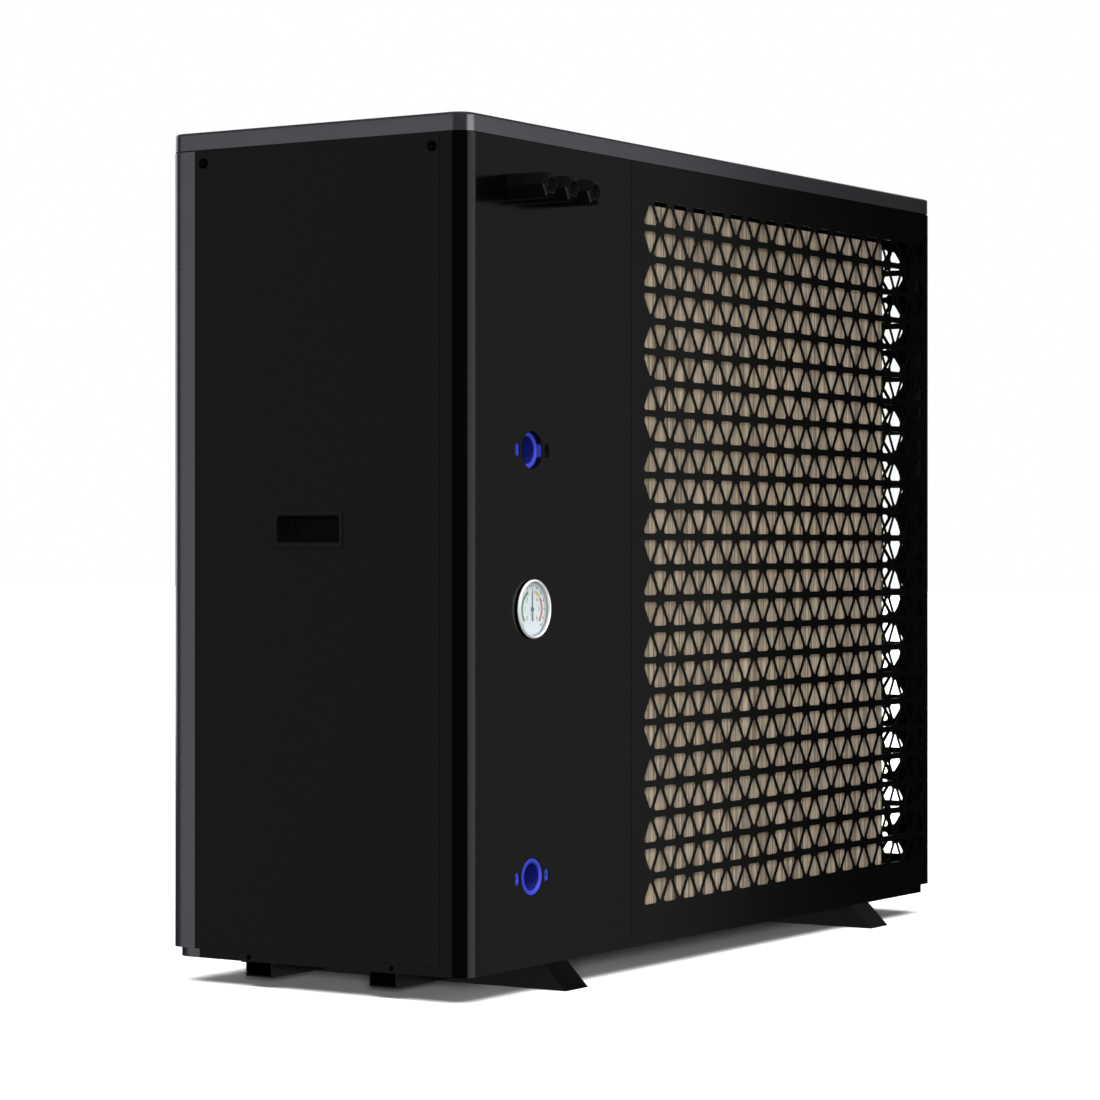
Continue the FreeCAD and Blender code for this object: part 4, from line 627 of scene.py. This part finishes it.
cup = [cup_loop((0.0002, 0.0002), SIDE + 0.0001, 0.0022),
       cup_loop((0.0002, 0.0002), RIM_HIGH - 0.0008, 0.0022),
       cup_loop((0.0007, 0.0007), RIM_HIGH - 0.0001, 0.0020),
       cup_loop((0.0014, 0.0014), RIM_HIGH, 0.0018),
       cup_loop(past_mouth(-0.0012), RIM_HIGH, 0.0024),
       cup_loop(past_mouth(-0.0003), RIM_HIGH - 0.0004, 0.0022),
       cup_loop(HOLE, SIDE - 0.001, 0.0022),
       cup_loop(past_mouth(0.0012), low.x + 0.0050, 0.0030, SCOOP),
       cup_loop(past_mouth(0.0032), low.x + 0.0022, 0.0030, SCOOP),
       cup_loop(past_mouth(0.0070), low.x + 0.0018, 0.0020, SCOOP)]
back = [cup_loop((0.0002, 0.0002), SIDE + 0.0001, 0.0022),
        cup_loop(past_mouth(-0.0018), SIDE, 0.0030),
        cup_loop(past_mouth(-0.0018), low.x + 0.0040, 0.0040),
        cup_loop(past_mouth(0.0010), low.x + 0.0001, 0.0030)]
skins = [loft(cup), loft(back)]
for _, faces in skins:
    faces.pop(-2)  # the two skins meet at their first loops, so neither has a cap there
settle(piece("handle_moulding", *joined(skins), black_plastic), "service_panel", "handle_cup")


def pan_screw(centre, axis, seat, top, radius, shank, depth):
    """A pan head: shank, flat underside, rolled edge, dome and a hexagon socket."""
    tall = top - seat
    socket = hexagon(radius * 0.8, 1.0, 48)
    head = [(shank, seat - depth), (shank, seat), (radius * 0.98, seat), (radius, seat + 0.2 * tall),
            (radius * 0.97, seat + 0.5 * tall), (radius * 0.86, seat + 0.8 * tall), (radius * 0.66, top),
            (socket, top - 0.02 * tall), (socket * 0.97, top - 0.55 * tall)]
    return lathe(centre, axis, head, 48)


screw_black = metal("black_zinc", (0.020, 0.020, 0.022), 0.35, 90.0)
low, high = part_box("side_panel_screws")
SIDE_HEAD = 0.00575
heads = [pan_screw([0, y, high.z - SIDE_HEAD], "x", SIDE, high.x, SIDE_HEAD, 0.0023, 0.005)
         for y in (low.y + SIDE_HEAD, high.y - SIDE_HEAD)]
settle(piece("side_screw_pair", *joined(heads), screw_black), "service_panel", "side_panel_screws")
low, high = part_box("base_screws")
BASE_HEAD = 0.0028
heads = [pan_screw([0, y, (low.z + high.z) / 2], "x", SIDE, high.x, BASE_HEAD, 0.0013, 0.003)
         for y in (low.y + BASE_HEAD, high.y - BASE_HEAD)]
settle(piece("base_screw_pair", *joined(heads), screw_black), "cabinet", "base_screws")


# ---------------------------------------------------------------------------------------------
# Fan.  A black moulded rotor: a cupped hub with three swept aerofoil blades, held on the motor's
# shaft by a nut, behind a moulded guard of rings and spokes.
# ---------------------------------------------------------------------------------------------
low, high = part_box("fan_rotor")
guard_low, guard_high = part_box("fan_guard")
FAN = [(guard_low.x + guard_high.x) / 2, 0.0, (guard_low.z + guard_high.z) / 2]
DEEP = (low.y + high.y) / 2
BLADES, ROOT, TIP, MID_DEPTH = 3, 0.072, 0.2985, high.y - DEEP


def blade_loops(turned):
    """Aerofoil sections from hub to tip.  A section's thickness is t (1.48 sqrt(c) - 0.63 c - 1.76 c^2 +
    1.42 c^3 - 0.51 c^4) at the share c of its chord, on a camber line 4 k c (1 - c)."""
    loops = []
    share = (1 - np.cos(np.linspace(0, math.pi, 15))) / 2
    half = 1.4845 * np.sqrt(share) - 0.63 * share - 1.758 * share**2 + 1.4215 * share**3 - 0.5075 * share**4
    for along in np.linspace(0.0, 1.0, 15):
        radius = ROOT + along * (TIP - ROOT)
        chord = np.interp(along, (0.0, 0.45, 0.9, 1.0), (0.118, 0.172, 0.215, 0.170))
        pitch = math.radians(np.interp(along, (0.0, 0.45, 1.0), (40.0, 30.0, 20.0)))
        sweep = math.radians(np.interp(along, (0.0, 0.45, 1.0), (0.0, 10.0, 24.0))) + turned
        camber = 0.05 * chord * 4 * share * (1 - share)
        thick = half * np.interp(along, (0.0, 1.0), (0.0075, 0.0045))
        line = np.concatenate([share, share[-2:0:-1]]) * chord - chord / 2
        rise = np.concatenate([camber + thick, (camber - thick)[-2:0:-1]])
        forward = line * math.cos(pitch) - rise * math.sin(pitch)
        depth = line * math.sin(pitch) + rise * math.cos(pitch)
        angle = sweep + forward / radius
        loops.append(np.column_stack([FAN[0] + radius * np.cos(angle),
                                      DEEP + np.clip(depth, -MID_DEPTH, MID_DEPTH),
                                      FAN[2] + radius * np.sin(angle)]))
    return loops


HUB, SHAFT = 0.075, 0.00605
hub_wall = [(SHAFT, low.y + 0.0015), (0.0160, low.y), (0.0640, low.y + 0.0005), (0.0715, low.y + 0.0025),
            (0.0745, low.y + 0.0070), (HUB, low.y + 0.014), (HUB, high.y - 0.001), (HUB - 0.0010, high.y),
            (HUB - 0.0035, high.y), (HUB - 0.0040, low.y + 0.010), (0.0185, low.y + 0.008),
            (0.0160, low.y + 0.012), (0.0150, high.y - 0.001), (SHAFT, high.y - 0.001)]
hub = lathe(FAN, "y", hub_wall, 96, closed=True)
ribs = []
for turn in turns(6):
    inner, outer, across = 0.0145, HUB - 0.003, np.array([-math.sin(turn), 0, math.cos(turn)]) * 0.0012
    out = np.array([math.cos(turn), 0, math.sin(turn)])
    corners = [(inner, low.y + 0.006), (outer, low.y + 0.006), (outer, high.y - 0.012),
               (inner, high.y - 0.004)]
    ribs.append(loft([[np.array(FAN) + out * reach + across * side + np.array([0, y, 0])
                       for reach, y in corners] for side in (-1, 1)]))
blades = [loft(blade_loops(2 * math.pi * number / BLADES)) for number in range(BLADES)]
rotor = joined([hub] + ribs + blades)
settle(piece("fan_wheel", *rotor, black_plastic, 40.0), "fan", "fan_rotor")
low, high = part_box("fan_nut")
zinc = metal("zinc_plate", (0.62, 0.62, 0.58), 0.34, 120.0)
nut = [(SHAFT, low.y), (hexagon(0.018, 0.0092), low.y), (hexagon(0.018, 0.0103), low.y + 0.0012),
       (hexagon(0.018, 0.0103), high.y - 0.0008), (hexagon(0.018, 0.0095), high.y), (SHAFT, high.y)]
turned_nut = lathe(FAN, "y", nut, 72, closed=True)
settle(piece("fan_shaft_nut", *turned_nut, zinc), "fan", "fan_nut")

low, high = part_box("fan_guard")
RIM, RINGS, SPOKES, CAP, WIRE = (high.x - low.x) / 2 - 0.0002, 13, 12, 0.060, 0.0022
section = turns(8)


def wire_ring(radius, thick, y):
    """A round wire bent into a circle about the fan's axis."""
    wire = [(radius + thick * math.cos(a), y + thick * math.sin(a)) for a in section]
    return lathe(FAN, "y", wire, 96, closed=True)


def rod(first, last, thick, sides=8):
    """A round bar between two points."""
    first, last = np.array(first, float), np.array(last, float)
    along = (last - first) / np.linalg.norm(last - first)
    side = np.cross(along, (0, 1, 0) if abs(along[1]) < 0.9 else (1, 0, 0))
    side /= np.linalg.norm(side)
    turned = np.cross(along, side)
    return loft([[end + thick * (math.cos(a) * side + math.sin(a) * turned) for a in turns(sides)]
                 for end in (first, last)])


guard = [wire_ring(CAP + (RIM - CAP) * number / RINGS, WIRE, low.y + 0.0036)
         for number in range(1, RINGS)]
rim = [(RIM, low.y + 0.001), (RIM, high.y), (RIM - 0.004, high.y), (RIM - 0.004, low.y + 0.001),
       (RIM - 0.002, low.y)]
guard.append(lathe(FAN, "y", rim, 128, closed=True))
for turn in turns(SPOKES):
    out = np.array([math.cos(turn), 0.0, math.sin(turn)])
    centre = np.array(FAN) + np.array([0, low.y + 0.0058, 0])
    guard.append(rod(centre + out * (CAP - 0.004), centre + out * (RIM - 0.002), 0.0024))
cap = [(0.002, low.y + 0.0002), (CAP - 0.006, low.y + 0.0002), (CAP, low.y + 0.0016),
       (CAP, low.y + 0.0070), (CAP - 0.0025, low.y + 0.0070), (CAP - 0.003, low.y + 0.0030),
       (0.002, low.y + 0.0030)]
guard.append(lathe(FAN, "y", cap, 72, closed=True))
guard.append(lathe(FAN, "y", [(0.0021, low.y + 0.0002), (0.0021, low.y + 0.0030)], 24))
settle(piece("guard_moulding", *joined(guard), black_plastic), "cabinet", "fan_guard")
dress(black_plastic, ["fan_orifice", "drain_spigot"])
dress(nylon, ["gland_locknuts"])


# ---------------------------------------------------------------------------------------------
# Display.  A moulded black bezel is clipped into the front panel's window, and a flat black touch
# glass is bonded to the ledge inside it.
# ---------------------------------------------------------------------------------------------
low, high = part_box("display_bezel")


def bezel_loop(inset, depth, radius):
    """A rounded rectangle in the front's plane, inset from the box and this deep behind its face."""
    flat = rounded_loop((low.x + inset, low.z + inset), (high.x - inset, high.z - inset), radius, 5)
    return np.column_stack([flat[:, 0], np.full(len(flat), low.y + depth), flat[:, 1]])


bezel = [bezel_loop(inset, depth, radius) for inset, depth, radius in
         ((0.0003, 0.0119, 0.003), (0.0003, 0.0012, 0.003), (0.0009, 0.0003, 0.003),
          (0.0018, 0.0001, 0.0028), (0.0042, 0.0001, 0.0020), (0.0048, 0.0006, 0.0016),
          (0.0050, 0.0022, 0.0016), (0.0080, 0.0023, 0.0010), (0.0080, 0.0119, 0.0010))]
settle(piece("bezel_moulding", *loft(bezel, closed=True), black_plastic), "cabinet", "display_bezel")
low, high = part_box("display_glass")
screen = moulded("display_screen", (0.004, 0.004, 0.005, 1.0), 0.12, 300.0, 0.6, 0.00001)
pane = [bezel_loop(0.0003, 0.0017, 0.0014), bezel_loop(0.0003, 0.0005, 0.0014),
        bezel_loop(0.0007, 0.0001, 0.0012)]
settle(piece("display_pane", *loft(pane), screen), "cabinet", "display_glass")


# ---------------------------------------------------------------------------------------------
# Inside the service end.  A painted compressor on rubber mounts with its suction tank, brass valves,
# the grey shell of the titanium heat exchanger, and the electric tray above them.
# ---------------------------------------------------------------------------------------------
gloss_black = powder_coat("compressor_enamel", (0.008, 0.008, 0.009, 1.0), 0.22, 0.00003)
low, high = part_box("compressor")
spot = [(low.x + high.x) / 2, (low.y + high.y) / 2, 0.0]
CAN, PLATE = 0.062, 0.003
can = [(0.004, low.z), (0.050, low.z), (0.058, low.z + 0.006), (CAN, low.z + 0.022),
       (CAN, low.z + 0.050), (CAN - 0.001, low.z + 0.052), (CAN, low.z + 0.054), (CAN, high.z - 0.042),
       (CAN - 0.001, high.z - 0.040), (CAN, high.z - 0.038), (CAN - 0.001, high.z - 0.026),
       (0.055, high.z - 0.014), (0.040, high.z - 0.004), (0.030, high.z), (0.004, high.z)]
deck = [(0.0780 + 0.006 * np.cos(3 * (turns(72) - math.pi / 2)), low.z + rise) for rise in (0.0, PLATE)]
compressor = joined([lathe(spot, "z", can, 72), lathe(spot, "z", deck, 72)])
settle(piece("compressor_shell", *compressor, gloss_black), "cabinet", "compressor")
low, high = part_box("accumulator")
spot = [(low.x + high.x) / 2, (low.y + high.y) / 2, 0.0]
TANK = (high.x - low.x) / 2
tank = [(0.004, low.z), (TANK * 0.5, low.z + 0.001), (TANK * 0.86, low.z + 0.007), (TANK, low.z + 0.020),
        (TANK, high.z - 0.020), (TANK * 0.86, high.z - 0.007), (TANK * 0.5, high.z - 0.001), (0.004, high.z)]
settle(piece("suction_tank", *lathe(spot, "z", tank, 64), gloss_black), "cabinet", "accumulator")
low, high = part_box("water_exchanger")
SHELL = (high.x - low.x) / 2
spot = [(low.x + high.x) / 2, low.y + SHELL, 0.0]
grey = moulded("grey_shell", (0.25, 0.26, 0.27, 1.0), 0.42, 300.0)
jacket = [(0.004, low.z), (SHELL - 0.004, low.z), (SHELL, low.z + 0.004), (SHELL, low.z + 0.030),
          (SHELL - 0.0025, low.z + 0.032), (SHELL - 0.0025, high.z - 0.032), (SHELL, high.z - 0.030),
          (SHELL, high.z - 0.004), (SHELL - 0.004, high.z), (0.004, high.z)]
parts = [lathe(spot, "z", jacket, 72)]
for name in ("outlet_union", "inlet_union"):
    union_low, union_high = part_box(name)
    middle = [spot[0], 0.0, (union_low.z + union_high.z) / 2]
    boss = [(SEAT, high.y), (RING, high.y), (RING, high.y - 0.010), (0.0230, high.y - 0.016),
            (SEAT, high.y - 0.016)]
    parts.append(lathe(middle, "y", boss, 48, closed=True))
settle(piece("exchanger_jacket", *joined(parts), grey), "cabinet", "water_exchanger")

low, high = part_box("board_capacitors")
sleeve = moulded("capacitor_sleeve", (0.010, 0.012, 0.05, 1.0), 0.3)
CAPACITOR = 0.015
beaded = [(0.002, low.z), (CAPACITOR - 0.001, low.z), (CAPACITOR, low.z + 0.001),
          (CAPACITOR, low.z + 0.004), (CAPACITOR - 0.0012, low.z + 0.0055), (CAPACITOR, low.z + 0.007),
          (CAPACITOR, high.z - 0.001), (CAPACITOR - 0.001, high.z), (CAPACITOR - 0.0025, high.z - 0.0004),
          (0.002, high.z - 0.0004)]
cans = [lathe([x, y, 0.0], "z", beaded, 40) for x in (low.x + CAPACITOR, high.x - CAPACITOR)
        for y in (low.y + CAPACITOR, high.y - CAPACITOR)]
settle(piece("capacitor_cans", *joined(cans), sleeve), "cabinet", "board_capacitors")


def laminated(name, colour, gap, roughness=0.5):
    """Stacked sheets: fine dark lines across the height."""
    made, place = new_material(name)
    height = place.node("ShaderNodeSeparateXYZ", {}, {"Vector": place}, output=2)
    line = height.maths("SINE", height * (2 * math.pi / gap)) * 0.5 + 0.5
    return surface(made, place, {"Base Color": blend_colours(line, shade(colour, 0.55), colour),
                                 "Roughness": roughness + 0.1 * line, "Normal": bump(line, 0.0001)})


def circuit_board(name, colour):
    """Solder mask: paler where copper runs under it, in small straight cells."""
    made, place = new_material(name)
    cell = place.node("ShaderNodeTexVoronoi", {"distance": "CHEBYCHEV"}, {"Vector": place, "Scale": 220.0},
                      output="Distance")
    stops = [(0.0, (0, 0, 0)), (0.45, (0, 0, 0)), (0.5, (1, 1, 1))]
    track = cell.node("ShaderNodeValToRGB", {"stops": stops}, {"Fac": cell})
    return surface(made, place, {"Base Color": blend_colours(track, colour, shade(colour, 2.2)),
                                 "Roughness": 0.3 + 0.1 * cell, "Normal": bump(cell, 0.00005)})


dress(metal("machined_brass", (0.62, 0.45, 0.20), 0.3, 90.0), ["four_way_valve", "expansion_valve"])
dress(metal("drawn_titanium", (0.45, 0.43, 0.41), 0.36, 30.0, stretch=(8.0, 8.0, 0.6)), ["titanium_tubes"])
dress(metal("cast_alloy", (0.45, 0.46, 0.47), 0.5, 300.0, depth=0.0002), ["fan_motor"])
dress(metal("extruded_alloy", (0.68, 0.69, 0.70), 0.32, 60.0, stretch=(1.0, 0.1, 1.0)), ["heat_sink"])
dress(zinc, ["compressor_bolts"])
dress(rubber, ["compressor_mounts"])
dress(circuit_board("solder_mask", (0.010, 0.090, 0.035, 1.0)), ["inverter_board"])
dress(laminated("varnished_core", (0.10, 0.095, 0.09, 1.0), 0.0012), ["reactor"])
dress(moulded("terminal_moulding", (0.55, 0.53, 0.46, 1.0), 0.45), ["terminal_block"])
